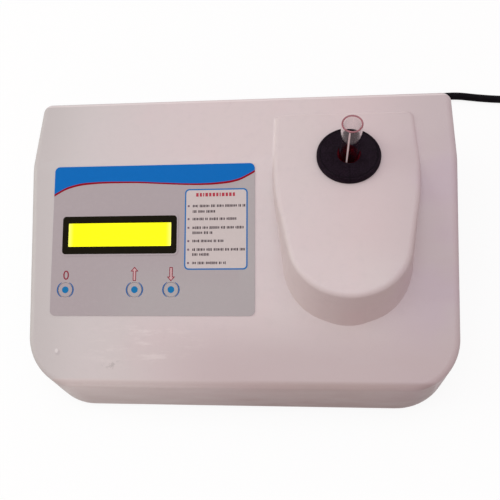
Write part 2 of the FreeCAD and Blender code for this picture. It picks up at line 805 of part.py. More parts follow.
def strip(points, radius, thickness, low_x, width):
    """A flat cable: straight runs with round bends, in the plane across X."""
    ways = [(b - a).normalize() for a, b in zip(points, points[1:])]
    edges = []
    for side in (1, -1):
        shifted_points = []
        for i, point in enumerate(points):
            first = ways[max(i - 1, 0)]
            last = ways[min(i, len(ways) - 1)]
            across = Vector(0, -first.z - last.z, first.y + last.y).normalize()
            lean = across.dot(Vector(0, -last.z, last.y))
            shifted_points.append(point + across * (side * thickness / 2 / lean))
        edges.append(shifted_points)
    loop = edges[0] + edges[1][::-1]
    inner = len(points) - 2
    rounding = [0] + [radius] * inner + [0]
    face = Part.Face(Part.Wire(corner_arcs(loop, rounding + rounding, True)))
    ribbon = face.extrude(Vector(width, 0, 0))
    ribbon.translate(Vector(low_x, 0, 0))
    return ribbon


def make_ribbon():
    board_top = plate_top + main_board_post + board_thickness
    lower_y = main_board_y + main_board_depth / 2 - header_depth
    upper = -display_board_depth - board_thickness
    headers = [on_panel(block(display_x, header_v, upper - header_height, header_width, header_depth,
                              header_height)),
               block(display_x, lower_y, board_top, header_width, header_depth, header_height)]
    save("ribbon_headers", Part.makeCompound(headers))
    start = panel_point(header_v, upper - header_height)
    after = panel_point(header_v, upper - header_height - ribbon_lead)
    end = Vector(0, lower_y, board_top + header_height)
    before = end + Vector(0, 0, ribbon_lead)
    save("ribbon_cable", strip([start, after, before, end], ribbon_bend, ribbon_thickness,
                               display_x - ribbon_width / 2, ribbon_width))


def make_transformer():
    x = transformer_x
    y = transformer_y
    core = block(x, y, plate_top, core_width, core_depth, core_height)
    window_width = (core_width - 4 * core_leg) / 2
    window_x = core_leg + window_width / 2
    openings = [block(x + side * window_x, y, plate_top + core_leg, window_width, 2 * core_depth,
                      core_height - 2 * core_leg) for side in (-1, 1)]
    save("transformer_core", core.cut(openings))
    coil_height = core_height - 2 * core_leg - 2 * winding_gap
    coil_width = core_width - 2 * core_leg - 2 * winding_gap
    winding = rounded_block(x, y, plate_top + core_leg + winding_gap, coil_width, winding_depth, coil_height, 5.0)
    leg = block(x, y, plate_top, 2 * core_leg + 2 * winding_gap, core_depth + 2 * winding_gap, core_height)
    save("transformer_winding", winding.cut(leg))
    outer = block(x, y, plate_top, core_width + 2 * tab_thickness, core_depth, core_height + tab_thickness)
    feet = block(x, y, plate_top, core_width + 2 * tab_thickness + 2 * tab_length, core_depth, tab_thickness)
    bracket = outer.fuse(feet).cut(block(x, y, plate_top - 1, core_width, 2 * core_depth, core_height + 1))
    bracket = bracket.cut([rod(sx, sy, plate_top - 1, screw_radius + screw_gap, 4)
                           for sx, sy in bracket_screw_places()])
    save("transformer_bracket", bracket)
    seat = plate_top + tab_thickness
    save("transformer_screws", Part.makeCompound([screw(sx, sy, seat, tab_thickness + plate_thickness - 0.3, -1)
                                                  for sx, sy in bracket_screw_places()]))


def make_switch():
    """A rocker switch; the rocker rests pressed at its upper end."""
    room_width = rocker_width + 2 * rocker_gap
    room_rise = rocker_rise + 2 * rocker_gap + rocker_sweep
    frame = rounded_block(0, 0, 0, switch_width, switch_rise, switch_bezel, 1.6)
    frame = frame.fuse(block(0, 0, -switch_body_depth, switch_body_width, switch_body_rise, switch_body_depth))
    frame = frame.cut(block(0, 0, -rocker_room, room_width, room_rise, 3 * rocker_room))
    pin_hole = Part.makeCylinder(trunnion_radius + running_gap, switch_body_width - 2 * trunnion_wall,
                                 Vector(-switch_body_width / 2 + trunnion_wall, 0, pivot_depth), Vector(1, 0, 0))
    frame = frame.cut(pin_hole)
    save("switch_frame", on_rear(frame, switch_x, fitting_height))
    half = rocker_rise / 2
    corners = [Vector(-rocker_width / 2, y, z) for y, z in
               ((-half, -rocker_depth), (half, -rocker_depth), (half, rocker_lip), (0, rocker_crown - 1.2),
                (-half, rocker_lip))]
    face = Part.Face(Part.Wire(corner_arcs(corners, [rocker_end_radius, rocker_end_radius, rocker_end_radius / 2,
                                                        rocker_back_radius, rocker_end_radius / 2], True)))
    rocker = face.extrude(Vector(rocker_width, 0, 0))
    pin_length = rocker_width + 2 * (rocker_gap + trunnion_length)
    rocker = rocker.fuse(Part.makeCylinder(trunnion_radius, pin_length, Vector(-pin_length / 2, 0, pivot_depth),
                                           Vector(1, 0, 0)))
    rocker.rotate(Vector(0, 0, pivot_depth), Vector(1, 0, 0), rocker_swing / 2)
    save("power_rocker", on_rear(rocker, switch_x, fitting_height))


def make_fuse():
    body = turned([(0, -fuse_body_length), (fuse_thread_radius, -fuse_body_length), (fuse_thread_radius, 0),
                   (fuse_flange_radius, 0), (fuse_flange_radius, fuse_flange_thickness * 0.6),
                   (fuse_flange_radius - 0.8, fuse_flange_thickness), (0, fuse_flange_thickness)])
    body = body.cut(rod(0, 0, -fuse_body_length + 2.5, fuse_bore_radius, 2 * fuse_body_length))
    save("fuse_holder", on_rear(body, fuse_x, fitting_height))
    low = fuse_flange_thickness + fuse_cap_gap
    cap = rod(0, 0, low, fuse_cap_radius, fuse_cap_height)
    for i in range(fuse_cap_flutes):
        flute = rod(fuse_cap_radius + 0.5, 0, low - 1, 1.0, fuse_cap_height + 2)
        flute.rotate(Vector(0, 0, 0), Vector(0, 0, 1), (i + 0.5) * 360 / fuse_cap_flutes)
        cap = cap.cut(flute)
    cap = cap.cut(block(0, 0, low + fuse_cap_height - 1.2, 2 * fuse_cap_radius, 1.4, 2))
    cap = cap.fuse(rod(0, 0, low - fuse_plug_length, fuse_bore_radius - running_gap, fuse_plug_length))
    save("fuse_cap", on_rear(cap, fuse_x, fitting_height))
    top = low - fuse_plug_length - tube_gap
    low = top - fuse_length
    cartridge = turned([(0, low), (fuse_radius, low), (fuse_radius, low + fuse_end),
                        (fuse_radius - 0.2, low + fuse_end), (fuse_radius - 0.2, top - fuse_end),
                        (fuse_radius, top - fuse_end), (fuse_radius, top), (0, top)])
    save("fuse", on_rear(cartridge, fuse_x, fitting_height))


def make_gland():
    """Strain relief: a neck through the wall, a flange, and a ringed tapering sleeve."""
    profile = [(0, -wall - gland_inner_length), (gland_neck_radius, -wall - gland_inner_length),
               (gland_neck_radius, 0), (gland_flange_radius, 0), (gland_flange_radius, gland_flange_thickness)]
    step = sleeve_length / sleeve_rings
    for i in range(sleeve_rings):
        low = sleeve_root_radius + (sleeve_tip_radius - sleeve_root_radius) * i / sleeve_rings
        z = gland_flange_thickness + i * step
        profile += [(low, z), (low - 0.1, z + step * 0.6), (low - 0.9, z + step * 0.6), (low - 0.9, z + step)]
    profile.append((0, gland_flange_thickness + sleeve_length))
    return on_rear(turned(profile), gland_x, gland_height)


def cord_points():
    exit_reach = gland_flange_thickness + sleeve_length
    wall_y = rear_y - (gland_height - foot_height) * math.tan(rear_tilt)
    straight = [Vector(gland_x, wall_y + reach * math.cos(rear_tilt), gland_height + reach * math.sin(rear_tilt))
                for reach in (exit_reach, exit_reach + cord_lead)]
    return straight + [Vector(*place) for place in cord_route]


def make_cord():
    points = cord_points()
    radii = [0]
    for a, b, c in zip(points, points[1:], points[2:]):
        turn = (b - a).getAngle(c - b)
        radii.append(bend_share * min((b - a).Length, (c - b).Length) / math.tan(turn / 2))
    radii.append(0)
    path = Part.Wire(corner_arcs(points, radii, False))
    start_way = (points[1] - points[0]).normalize()
    section = Part.Wire(Part.makeCircle(cord_diameter / 2, points[0], start_way))
    tube = path.makePipeShell([section], True, False)
    ideal = math.pi * (cord_diameter / 2) ** 2 * path.Length
    print("cord: bend radii %s, length %.1f, volume %.1f against %.1f"
          % ([round(r, 1) for r in radii[1:-1]], path.Length, tube.Volume, ideal))
    return tube


def make_coil():
    """The outer shape of the wound part of the lead: a ring with rounded edges."""
    outer = coil_turn_radius + cord_diameter / 2
    inner = outer - coil_columns * cord_diameter
    height = coil_layers * cord_diameter
    edge = cord_diameter * 0.3
    ring = turned([(inner, edge), (inner + edge, 0), (outer - edge, 0), (outer, edge), (outer, height - edge),
                   (outer - edge, height), (inner + edge, height), (inner, height - edge)])
    ring.translate(Vector(coil_x, coil_y, 0))
    return ring


def make_plug():
    """A moulded plug that lies beside the coil, its pins pointing to the front."""
    tail_x = coil_x + coil_turn_radius
    tail_y = coil_y - coil_turn_radius * 0.45 - plug_tail_length
    tail_z = cord_diameter * (coil_layers - 0.5)

    def section(y, width, height, middle, radius):
        corners = [(-width / 2, middle - height / 2), (width / 2, middle - height / 2),
                   (width / 2, middle + height / 2), (-width / 2, middle + height / 2)]
        points = [Vector(x, y, z) for x, z in corners]
        return Part.Wire(corner_arcs(points, [radius] * 4, True))

    face = section(-plug_length, plug_width - 2, plug_height - 2, plug_height / 2, plug_round - 1)
    front = section(1.5 - plug_length, plug_width, plug_height, plug_height / 2, plug_round)
    back = section(plug_grip_length - plug_length, plug_width, plug_height, plug_height / 2, plug_round)
    neck = section(0, plug_neck, plug_neck, tail_z, plug_neck * 0.45)
    body = loft(face, front).fuse([loft(front, back), loft(back, neck)])
    body = body.fuse(Part.makeCone(plug_tail_radius, cord_diameter / 2 + 0.6, plug_tail_length,
                                   Vector(0, 0, tail_z), Vector(0, 1, 0)))
    pins = []
    for x, z, radius, length in ((-line_pin_spacing / 2, line_pin_rise, line_pin_radius, line_pin_length),
                                 (line_pin_spacing / 2, line_pin_rise, line_pin_radius, line_pin_length),
                                 (0, line_pin_rise + earth_pin_rise, earth_pin_radius, earth_pin_length)):
        pins.append(Part.makeCylinder(radius, length, Vector(x, -plug_length, z), Vector(0, -1, 0)))
    group = Part.makeCompound(pins)
    for shape in (body, group):
        shape.translate(Vector(tail_x, tail_y, 0))
    print("plug: line pins at x %.2f and %.2f, z %.2f; earth pin at x %.2f, z %.2f; face at y %.2f"
          % (tail_x - line_pin_spacing / 2, tail_x + line_pin_spacing / 2, line_pin_rise, tail_x,
             line_pin_rise + earth_pin_rise, tail_y - plug_length))
    return body, group


save("top_housing", make_housing())
save("base_plate", make_base_plate())
save("base_screws", Part.makeCompound([screw(x, y, foot_height + base_recess, base_screw_length)
                                       for x, y in base_screw_places()]))
for foot_name, (foot_x, foot_y) in foot_places().items():
    save(foot_name, make_foot(foot_x, foot_y))
save("foot_screws", Part.makeCompound([screw(x, y, foot_recess, foot_screw_length)
                                       for x, y in foot_places().values()]))
save("front_overlay", make_overlay())
make_display()
make_keys()
make_well()
save("sample_tube", make_tube())
make_electronics()
make_ribbon()
make_transformer()
make_switch()
make_fuse()
save("cord_gland", make_gland())
save("mains_cord", make_cord())
save("cord_coil", make_coil())
plug_body, plug_pins = make_plug()
save("plug", plug_body)
save("plug_pins", plug_pins)
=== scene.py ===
import bpy
import bmesh
import math
from mathutils import Matrix, Vector


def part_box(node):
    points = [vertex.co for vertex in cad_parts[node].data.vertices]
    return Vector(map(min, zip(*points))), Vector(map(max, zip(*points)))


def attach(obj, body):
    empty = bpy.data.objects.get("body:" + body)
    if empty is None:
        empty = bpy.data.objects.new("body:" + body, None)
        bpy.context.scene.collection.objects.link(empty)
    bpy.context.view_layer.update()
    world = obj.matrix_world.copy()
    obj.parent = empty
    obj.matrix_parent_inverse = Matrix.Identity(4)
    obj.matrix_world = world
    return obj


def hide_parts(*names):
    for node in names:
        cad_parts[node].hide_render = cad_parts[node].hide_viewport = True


# Digital colorimeter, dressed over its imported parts. Lengths in this file are in metres, apart from those
# that a comment gives in millimetres: MM brings them down, by itself or inside PANEL and REAR.

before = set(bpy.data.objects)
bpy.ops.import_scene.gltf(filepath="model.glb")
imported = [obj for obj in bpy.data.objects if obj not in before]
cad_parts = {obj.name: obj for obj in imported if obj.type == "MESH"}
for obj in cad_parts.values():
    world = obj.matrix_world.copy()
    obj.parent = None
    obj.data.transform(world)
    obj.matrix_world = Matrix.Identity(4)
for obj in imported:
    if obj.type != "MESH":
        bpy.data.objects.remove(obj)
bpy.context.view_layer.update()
MM = 0.001

# The panel: its slope, its film's thickness, edges and corners in millimetres, and its zero at the middle
# of the display
SLOPE = math.radians(18.62)
FILM = 0.4
FILM_LEFT = -115.6
FILM_RIGHT = 9.8
FILM_LOW = -49.3
FILM_TOP = 43.0
FILM_ROUND = 3.2
film_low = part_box("front_overlay")[0]
panel_x = film_low[0] - FILM_LEFT * MM
panel_y = film_low[1] - FILM_LOW * MM * math.cos(SLOPE) + FILM * MM * math.sin(SLOPE)
panel_z = film_low[2] - FILM_LOW * MM * math.sin(SLOPE)
PANEL = Matrix.Translation((panel_x, panel_y, panel_z)) @ Matrix.Rotation(SLOPE, 4, "X") @ Matrix.Scale(MM, 4)

# The camera: where it stands from the panel's zero, which way it looks, and which way is up in its picture
CAMERA_PLACE = (0.038153, -0.152299, 0.304390)
CAMERA_LOOK = (-0.09181551, 0.41919125, -0.90324338)
CAMERA_UP = (0.00834812, 0.907367, 0.4202564)
CAMERA_LENS = 41.04


def srgb(red, green, blue):
    """A colour given as it shows on a screen, from 0 to 255."""
    linear = []
    for value in (red, green, blue):
        value = value / 255
        linear.append(value / 12.92 if value <= 0.04045 else ((value + 0.055) / 1.055) ** 2.4)
    return (*linear, 1.0)


# Camera

def place_camera():
    data = bpy.data.cameras.new("photo_camera")
    data.sensor_width = 36.0
    data.lens = CAMERA_LENS
    data.clip_start = 0.01
    camera = bpy.data.objects.new("photo_camera", data)
    bpy.context.scene.collection.objects.link(camera)
    look = Vector(CAMERA_LOOK).normalized()
    up = Vector(CAMERA_UP).normalized()
    right = look.cross(up)
    turn = Matrix((right, up, -look)).transposed().to_4x4()
    place = [zero + step for zero, step in zip((panel_x, panel_y, panel_z), CAMERA_PLACE)]
    camera.matrix_world = Matrix.Translation(place) @ turn
    bpy.context.scene.camera = camera


# A material's making

class Finish:
    """A material under construction: a Principled shader with patterns on Object coordinates."""

    def __init__(self, name, colour, roughness=0.5, metallic=0.0, **sockets):
        self.material = bpy.data.materials.new(name)
        self.material.use_nodes = True
        self.tree = self.material.node_tree
        self.shader = self.tree.nodes["Principled BSDF"]
        self.output = self.tree.nodes["Material Output"]
        self.shader.inputs["Base Color"].default_value = colour
        self.shader.inputs["Roughness"].default_value = roughness
        self.shader.inputs["Metallic"].default_value = metallic
        for socket, value in sockets.items():
            self.shader.inputs[socket.replace("_", " ")].default_value = value
        self.place = self.add("ShaderNodeTexCoord").outputs["Object"]
        self.height = None

    def add(self, kind, **settings):
        node = self.tree.nodes.new(kind)
        for key, value in settings.items():
            setattr(node, key, value)
        return node

    def link(self, source, target):
        self.tree.links.new(source, target)

    def feed(self, source, target):
        """Feed a socket, or set it to a plain number."""
        if isinstance(source, (int, float)):
            target.default_value = source
        else:
            self.link(source, target)

    def maths(self, operation, first, second=0.0):
        node = self.add("ShaderNodeMath", operation=operation)
        for source, target in zip((first, second), node.inputs):
            self.feed(source, target)
        return node.outputs[0]

    def both(self, first, *others):
        """The product of masks, which is high only where all of them are."""
        for other in others:
            first = self.maths("MULTIPLY", first, other)
        return first

    def moved(self, scale=(1, 1, 1), location=(0, 0, 0), rotation=(0, 0, 0)):
        node = self.add("ShaderNodeMapping")
        node.inputs["Scale"].default_value = scale
        node.inputs["Location"].default_value = location
        node.inputs["Rotation"].default_value = rotation
        self.link(self.place, node.inputs["Vector"])
        return node.outputs[0]

    def noise(self, scale, detail=3.0, roughness=0.55, vector=None, distortion=0.0):
        node = self.add("ShaderNodeTexNoise")
        node.inputs["Scale"].default_value = scale
        node.inputs["Detail"].default_value = detail
        node.inputs["Roughness"].default_value = roughness
        node.inputs["Distortion"].default_value = distortion
        self.link(vector or self.place, node.inputs["Vector"])
        return node.outputs["Fac"]

    def cells(self, scale):
        node = self.add("ShaderNodeTexVoronoi", feature="F1")
        node.inputs["Scale"].default_value = scale
        self.link(self.place, node.inputs["Vector"])
        return node.outputs["Distance"]

    def band(self, source, low, high, bottom=0.0, top=1.0):
        """Remap a value so that low becomes bottom and high becomes top, and hold it there."""
        node = self.add("ShaderNodeMapRange", interpolation_type="SMOOTHSTEP")
        for value, target in zip((source, low, high, bottom, top), node.inputs):
            self.feed(value, target)
        return node.outputs[0]

    def ridge(self, source, centre, half):
        """A narrow line: 1 where a value is near its centre, and 0 from half a width away."""
        apart = self.maths("ABSOLUTE", self.maths("SUBTRACT", source, centre))
        return self.band(apart, half * 0.3, half, 1.0, 0.0)

    def axes(self):
        node = self.add("ShaderNodeSeparateXYZ")
        self.link(self.place, node.inputs[0])
        return node.outputs

    def colour_now(self):
        """The base colour's source so far: a link if there is one, else its plain value."""
        socket = self.shader.inputs["Base Color"]
        return socket.links[0].from_socket if socket.is_linked else tuple(socket.default_value)

    def tint(self, mask, colour):
        """Bring a second colour in where the mask is high."""
        node = self.add("ShaderNodeMix", data_type="RGBA")
        self.feed(mask, node.inputs["Factor"])
        base = self.colour_now()
        if isinstance(base, tuple):
            node.inputs[6].default_value = base
        else:
            self.link(base, node.inputs[6])
        node.inputs[7].default_value = colour
        self.link(node.outputs[2], self.shader.inputs["Base Color"])

    def rough(self, source, low, high):
        self.link(self.band(source, 0.3, 0.7, low, high), self.shader.inputs["Roughness"])

    def bump(self, source, strength, distance):
        node = self.add("ShaderNodeBump")
        node.inputs["Strength"].default_value = strength
        node.inputs["Distance"].default_value = distance
        self.feed(source, node.inputs["Height"])
        if self.height is not None:
            self.link(self.height, node.inputs["Normal"])
        self.height = node.outputs[0]
        self.link(self.height, self.shader.inputs["Normal"])

    def spot(self, centre, reach, soft=0.35):
        """A mask round a place on the object: 1 about its middle and 0 at its edge."""
        vector = self.moved(scale=tuple(1 / r for r in reach),
                            location=tuple(-c / r for c, r in zip(centre, reach)))
        length = self.add("ShaderNodeVectorMath", operation="LENGTH")
        self.link(vector, length.inputs[0])
        return self.band(length.outputs["Value"], soft, 1.0, 1.0, 0.0)


# Materials

def on_panel(x, v):
    """A place given in the panel's own millimetres, in the frame's metres."""
    return tuple(PANEL @ Vector((x, v, 0.0)))


def scaled(colour, factor):
    """A colour made darker or lighter by a factor, no brighter than full."""
    return tuple(min(channel * factor, 1.0) for channel in colour[:3]) + (1.0,)


# Edges of the housing where its tone changes: metres along x, y or z in the frame. The hump's left edge
# starts at HUMP_CORNER_Y and leans by HUMP_TAPER for each metre from there to the front.
ROOF_CREST_Y = 0.0827
ROOF_Z = (0.0770, 0.0775)
HUMP_BACK_Y = 0.0689
HUMP_CORNER_Y = 0.068
HUMP_LEFT_X = 0.0223
HUMP_TAPER = 0.0224
FRONT_EDGE_Y = (-0.0894, -0.0870)

# Marks of use on the panel, in its millimetres: a worn patch with painted sheen, a small dent drawn as a
# painted highlight with a painted shadow beside it, and a scuff
WORN_SHEEN_PATCH = (-60.0, -65.0)
DENT_HIGHLIGHT = (-110.6, -70.4)
DENT_SHADOW = (-109.9, -71.4)
SCUFF = (-76.0, -78.2)


def housing_clouds(look):
    """Three sizes of uneven tone, as on plastic that has aged."""
    for scale, detail, roughness, band, colour in (
            (11.0, 4.0, 0.6, (0.35, 0.7, 0.0, 0.45), srgb(207, 197, 194)),
            (26.0, 3.0, 0.55, (0.5, 0.75, 0.0, 0.35), srgb(216, 194, 196)),
            (190.0, 3.0, 0.6, (0.45, 0.8, 0.0, 0.22), srgb(196, 184, 186))):
        look.tint(look.band(look.noise(scale, detail, roughness), *band), colour)


def housing_tones_and_painted_light(look, x, y):
    """Painted light: greyer to the left, pinker about the hump, and darker and pinker down the right margin,
    as the light falls; and uneven lilac and grey tone by turns down the right margin.
    """
    # Painted light and shade by where the light falls: greyer and darker to the left, pinker about the hump,
    # darker and pinker down the right margin
    look.tint(look.band(x, -0.12, -0.005, 0.45, 0.0), srgb(192, 193, 191))
    look.tint(look.band(x, -0.135, -0.090, 0.8, 0.0), srgb(188, 181, 180))
    hump_painted_light = look.both(look.band(x, 0.03, 0.08, 0.0, 0.45), look.band(y, -0.045, -0.015))
    look.tint(hump_painted_light, srgb(206, 185, 186))
    look.tint(look.band(x, 0.065, 0.135, 0.0, 0.6), srgb(184, 169, 175))
    # Uneven tone: lilac and grey patches by turns down the right margin
    patches = look.band(look.noise(17.0, 2.0, 0.5), 0.42, 0.58)
    margin = look.band(x, 0.07, 0.12)
    lilac = look.both(patches, margin)
    look.tint(look.both(lilac, 0.4), srgb(188, 171, 184))
    look.tint(look.both(look.maths("SUBTRACT", margin, lilac), 0.3), srgb(190, 182, 180))


def housing_highlights(look, x, y, z):
    """Pale lines where edges catch the light: the roof's rear edge, and the hump's rear and left edges."""
    crest = look.both(look.ridge(y, ROOF_CREST_Y, 0.0011), look.band(z, *ROOF_Z))
    look.tint(look.both(crest, 0.6), srgb(236, 226, 226))
    along = look.both(look.band(x, 0.022, 0.027), look.band(x, 0.100, 0.106, 1.0, 0.0))
    look.tint(look.both(look.ridge(y, HUMP_BACK_Y, 0.0010), along, 0.4), srgb(234, 222, 222))
    side = look.maths("ADD", x, look.both(look.maths("SUBTRACT", HUMP_CORNER_Y, y), HUMP_TAPER))
    along = look.both(look.band(y, 0.030, 0.050), look.band(y, 0.0665, 0.0690, 1.0, 0.0))
    look.tint(look.both(look.ridge(side, HUMP_LEFT_X, 0.0011), along, 0.4), srgb(236, 225, 224))


def housing_front_painted_light(look, x, y, z):
    """Painted light and shade at the front: painted shade on the lower right of the panel and on the front
    wall below its edge, painted light on the wall's left, and painted shade near the table.
    """
    over = look.band(y, *FRONT_EDGE_Y)
    # Painted shade: the lower right of the panel darker towards its front edge
    corner = look.both(look.band(x, -0.085, -0.005), look.band(y, -0.080, -0.045, 1.0, 0.0))
    look.tint(look.both(corner, over, 0.8), srgb(190, 173, 174))
    wall = look.maths("SUBTRACT", 1.0, over)
    # Painted light on the left of the front wall, painted shade to its right and in a band just below the edge
    look.tint(look.both(wall, look.band(x, -0.10, 0.02, 0.9, 0.0)), srgb(230, 220, 218))
    look.tint(look.both(wall, look.band(x, -0.06, 0.06, 0.0, 0.42)), srgb(158, 134, 131))
    look.tint(look.both(wall, look.band(y, -0.0925, -0.0900), 0.45), srgb(158, 136, 133))
    shade = look.both(look.band(z, 0.003, 0.034, 1.0, 0.0), look.band(y, -0.088, -0.070, 1.0, 0.3),
                      look.band(x, -0.06, 0.04, 0.27, 0.37))
    look.tint(shade, srgb(120, 98, 94))


def housing_wear_and_painted_light(look, smears):
    """Faint grime all over, a worn patch below the film with painted sheen in its smears, and to its left a
    small dent, drawn as a painted highlight with a painted shadow beside it, and a scuff.
    """
    grime = look.band(look.noise(55.0, 6.0, 0.7, distortion=0.6), 0.63, 0.8)
    look.tint(look.both(grime, 0.16), srgb(168, 150, 146))
    # Wear smears, lighter in part as painted sheen
    patch = look.spot(on_panel(*WORN_SHEEN_PATCH), (0.05, 0.022, 0.02), 0.2)
    look.tint(look.both(patch, look.band(smears, 0.5, 0.68), 0.5), srgb(228, 218, 217))
    # Painted shadow and painted highlight of a small dent
    dent_shadow = look.spot(on_panel(*DENT_SHADOW), (0.0022, 0.0022, 0.004))
    look.tint(look.both(dent_shadow, 0.5), srgb(176, 166, 168))
    look.tint(look.both(look.spot(on_panel(*DENT_HIGHLIGHT), (0.0014, 0.0017, 0.004)), 0.5), srgb(240, 234, 233))
    scuff = look.spot(on_panel(*SCUFF), (0.008, 0.0035, 0.006))
    scratches = look.band(look.noise(380.0, 3.0, 0.6), 0.50, 0.66)
    look.tint(look.both(scuff, scratches, 0.45), srgb(156, 148, 146))


def moulded_housing():
    look = Finish("moulded_housing", srgb(212, 197, 198), 0.46, IOR=1.46)
    x, y, z = look.axes()
    smears = look.noise(34.0, 5.0, 0.7, look.moved(scale=(1.0, 5.0, 5.0), rotation=(0, 0, 0.35)))
    housing_clouds(look)
    housing_tones_and_painted_light(look, x, y)
    housing_highlights(look, x, y, z)
    housing_front_painted_light(look, x, y, z)
    housing_wear_and_painted_light(look, smears)
    look.rough(smears, 0.38, 0.54)
    look.bump(look.noise(700.0, 2.0, 0.5), 0.16, 0.00025)
    look.bump(look.noise(45.0, 2.0, 0.4), 0.10, 0.0006)
    return look.material


def plain_plastic(name, colour, roughness=0.5, grain=900.0, depth=0.12):
    look = Finish(name, colour, roughness)
    look.tint(look.band(look.noise(60.0, 4.0, 0.6), 0.4, 0.7, 0.0, 0.5), scaled(colour, 0.82))
    look.rough(look.noise(180.0, 3.0, 0.6), roughness * 0.85, min(roughness * 1.2, 1.0))
    look.bump(look.noise(grain, 2.0, 0.5), depth, 0.0002)
    return look.material


def film_print(name, colour, edge_tone=None):
    """Printed film, which takes a second tone, if one is given, at its right edge and near its lower right
    corner.
    """
    roughness = 0.42
    look = Finish(name, colour, roughness, Specular_IOR_Level=0.06)
    if edge_tone:
        # A second tone towards the right edge and the lower right corner
        x, y, _ = look.axes()
        low = look.both(look.band(x, -0.10, -0.05), look.band(y, -0.040, -0.015, 0.9, 0.0))
        look.tint(look.maths("MAXIMUM", look.band(x, -0.005, 0.004), low), edge_tone)
    look.tint(look.band(look.noise(420.0, 3.0, 0.6), 0.45, 0.75, 0.0, 0.2), scaled(colour, 1.15))
    look.tint(look.band(look.noise(9.0, 2.0, 0.5), 0.4, 0.7, 0.0, 0.3), scaled(colour, 0.93))
    look.rough(look.noise(90.0, 3.0, 0.6), roughness * 0.85, roughness * 1.15)
    look.bump(look.noise(1800.0, 2.0, 0.5), 0.08, 0.0001)
    return look.material


def metal(name, colour, roughness=0.35, stretch=(1.0, 1.0, 14.0)):
    look = Finish(name, colour, roughness, 1.0)
    lines = look.noise(260.0, 4.0, 0.6, look.moved(scale=stretch))
    look.tint(look.band(lines, 0.4, 0.7, 0.0, 0.4), scaled(colour, 0.7))
    look.rough(lines, roughness * 0.8, min(roughness * 1.5, 1.0))
    look.bump(lines, 0.08, 0.0001)
    return look.material


def painted_bezel():
    look = Finish("painted_bezel", srgb(20, 15, 4), 0.45, Specular_IOR_Level=0.04)
    look.tint(look.band(look.noise(240.0, 4.0, 0.6), 0.5, 0.75, 0.0, 0.5), srgb(32, 26, 12))
    look.bump(look.noise(1500.0, 2.0, 0.5), 0.15, 0.0001)
    return look.material


# The collar: how far from the well's middle its fine groove and the edge of the red light painted in its bore
# lie, in metres
COLLAR_GROOVE = 0.0169
COLLAR_RED_LIGHT = (0.0066, 0.0071)


def turned_collar():
    """Black plastic turned on a lathe, with fine rings round the well, dust on top, painted shade in its fine
    groove, a dark line down its front, and the red light from inside the instrument painted into its bore,
    brighter deeper down.
    """
    low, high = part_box("tube_collar")
    middle_x = (low[0] + high[0]) / 2
    middle_y = (low[1] + high[1]) / 2
    look = Finish("turned_collar", srgb(20, 10, 18), 0.6, Specular_IOR_Level=0.05)
    x, y, z = look.axes()
    length = look.add("ShaderNodeVectorMath", operation="LENGTH")
    look.link(look.moved(scale=(1, 1, 0), location=(-middle_x, -middle_y, 0)), length.inputs[0])
    radius = length.outputs["Value"]
    look.tint(look.band(look.noise(140.0, 5.0, 0.7), 0.45, 0.75, 0.0, 0.5), srgb(32, 22, 31))
    look.tint(look.band(look.noise(950.0, 2.0, 0.6), 0.44, 0.62, 0.0, 0.5), srgb(40, 28, 40))
    look.tint(look.band(look.cells(900.0), 0.0, 0.18, 0.30, 0.0), srgb(72, 60, 70))
    # A fine groove, sunk by a bump below, with painted shade in it
    apart = look.maths("ABSOLUTE", look.maths("SUBTRACT", radius, COLLAR_GROOVE))
    groove_and_shade = look.maths("SUBTRACT", 1.0, look.band(apart, 0.0001, 0.0004))
    look.tint(look.both(groove_and_shade, 0.8), srgb(4, 1, 4))
    # Painted light: the red light from inside the instrument, in the bore, brighter deeper down where little
    # light reaches
    red_light = look.band(radius, *COLLAR_RED_LIGHT, 1.0, 0.0)
    look.tint(red_light, srgb(72, 2, 14))
    deep = look.band(z, high[2] - 0.004, high[2] - 0.0008, 1.0, 0.0)
    look.tint(look.both(deep, red_light), srgb(140, 6, 24))
    # A short dark line down the front of the collar
    front_line = look.band(look.maths("ABSOLUTE", look.maths("SUBTRACT", x, middle_x)), 0.0001, 0.0005, 0.6, 0.0)
    front = look.band(y, middle_y - 0.009, middle_y - 0.007, 1.0, 0.0)
    look.tint(look.both(front_line, front), srgb(6, 1, 6))
    look.rough(look.noise(200.0, 4.0, 0.6), 0.5, 0.72)
    look.bump(look.maths("SINE", look.both(radius, 9000.0)), 0.10, 0.0001)
    look.bump(look.both(groove_and_shade, -1.0), 0.5, 0.0003)
    look.bump(look.noise(800.0, 2.0, 0.5), 0.12, 0.00012)
    return look.material


def tube_glass():
    """Clear glass, with painted light on its rim: the faint red of the light from inside the instrument,
    carried up the glass.
    """
    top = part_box("sample_tube")[1][2]
    look = Finish("tube_glass", (0.97, 0.93, 0.935, 1.0), 0.02, Transmission_Weight=1.0, IOR=1.45)
    # Painted light: the red glow at the rim, where the glass is also made less clear
    rim_red_light = look.band(look.axes()[2], top - 0.0008, top - 0.0004)
    look.tint(rim_red_light, srgb(226, 140, 152))
    look.link(look.band(rim_red_light, 0.0, 1.0, 1.0, 0.6), look.shader.inputs["Transmission Weight"])
    look.bump(look.noise(90.0, 2.0, 0.4), 0.02, 0.0002)
    return look.material


# The lit part of the display: up the panel in millimetres, and one character cell in metres
LIT_LOW = (-7.1, -7.0)
LIT_HIGH = (7.25, 7.35)
CELL_WIDTH = 0.00355
CELL_HEIGHT = 0.0062


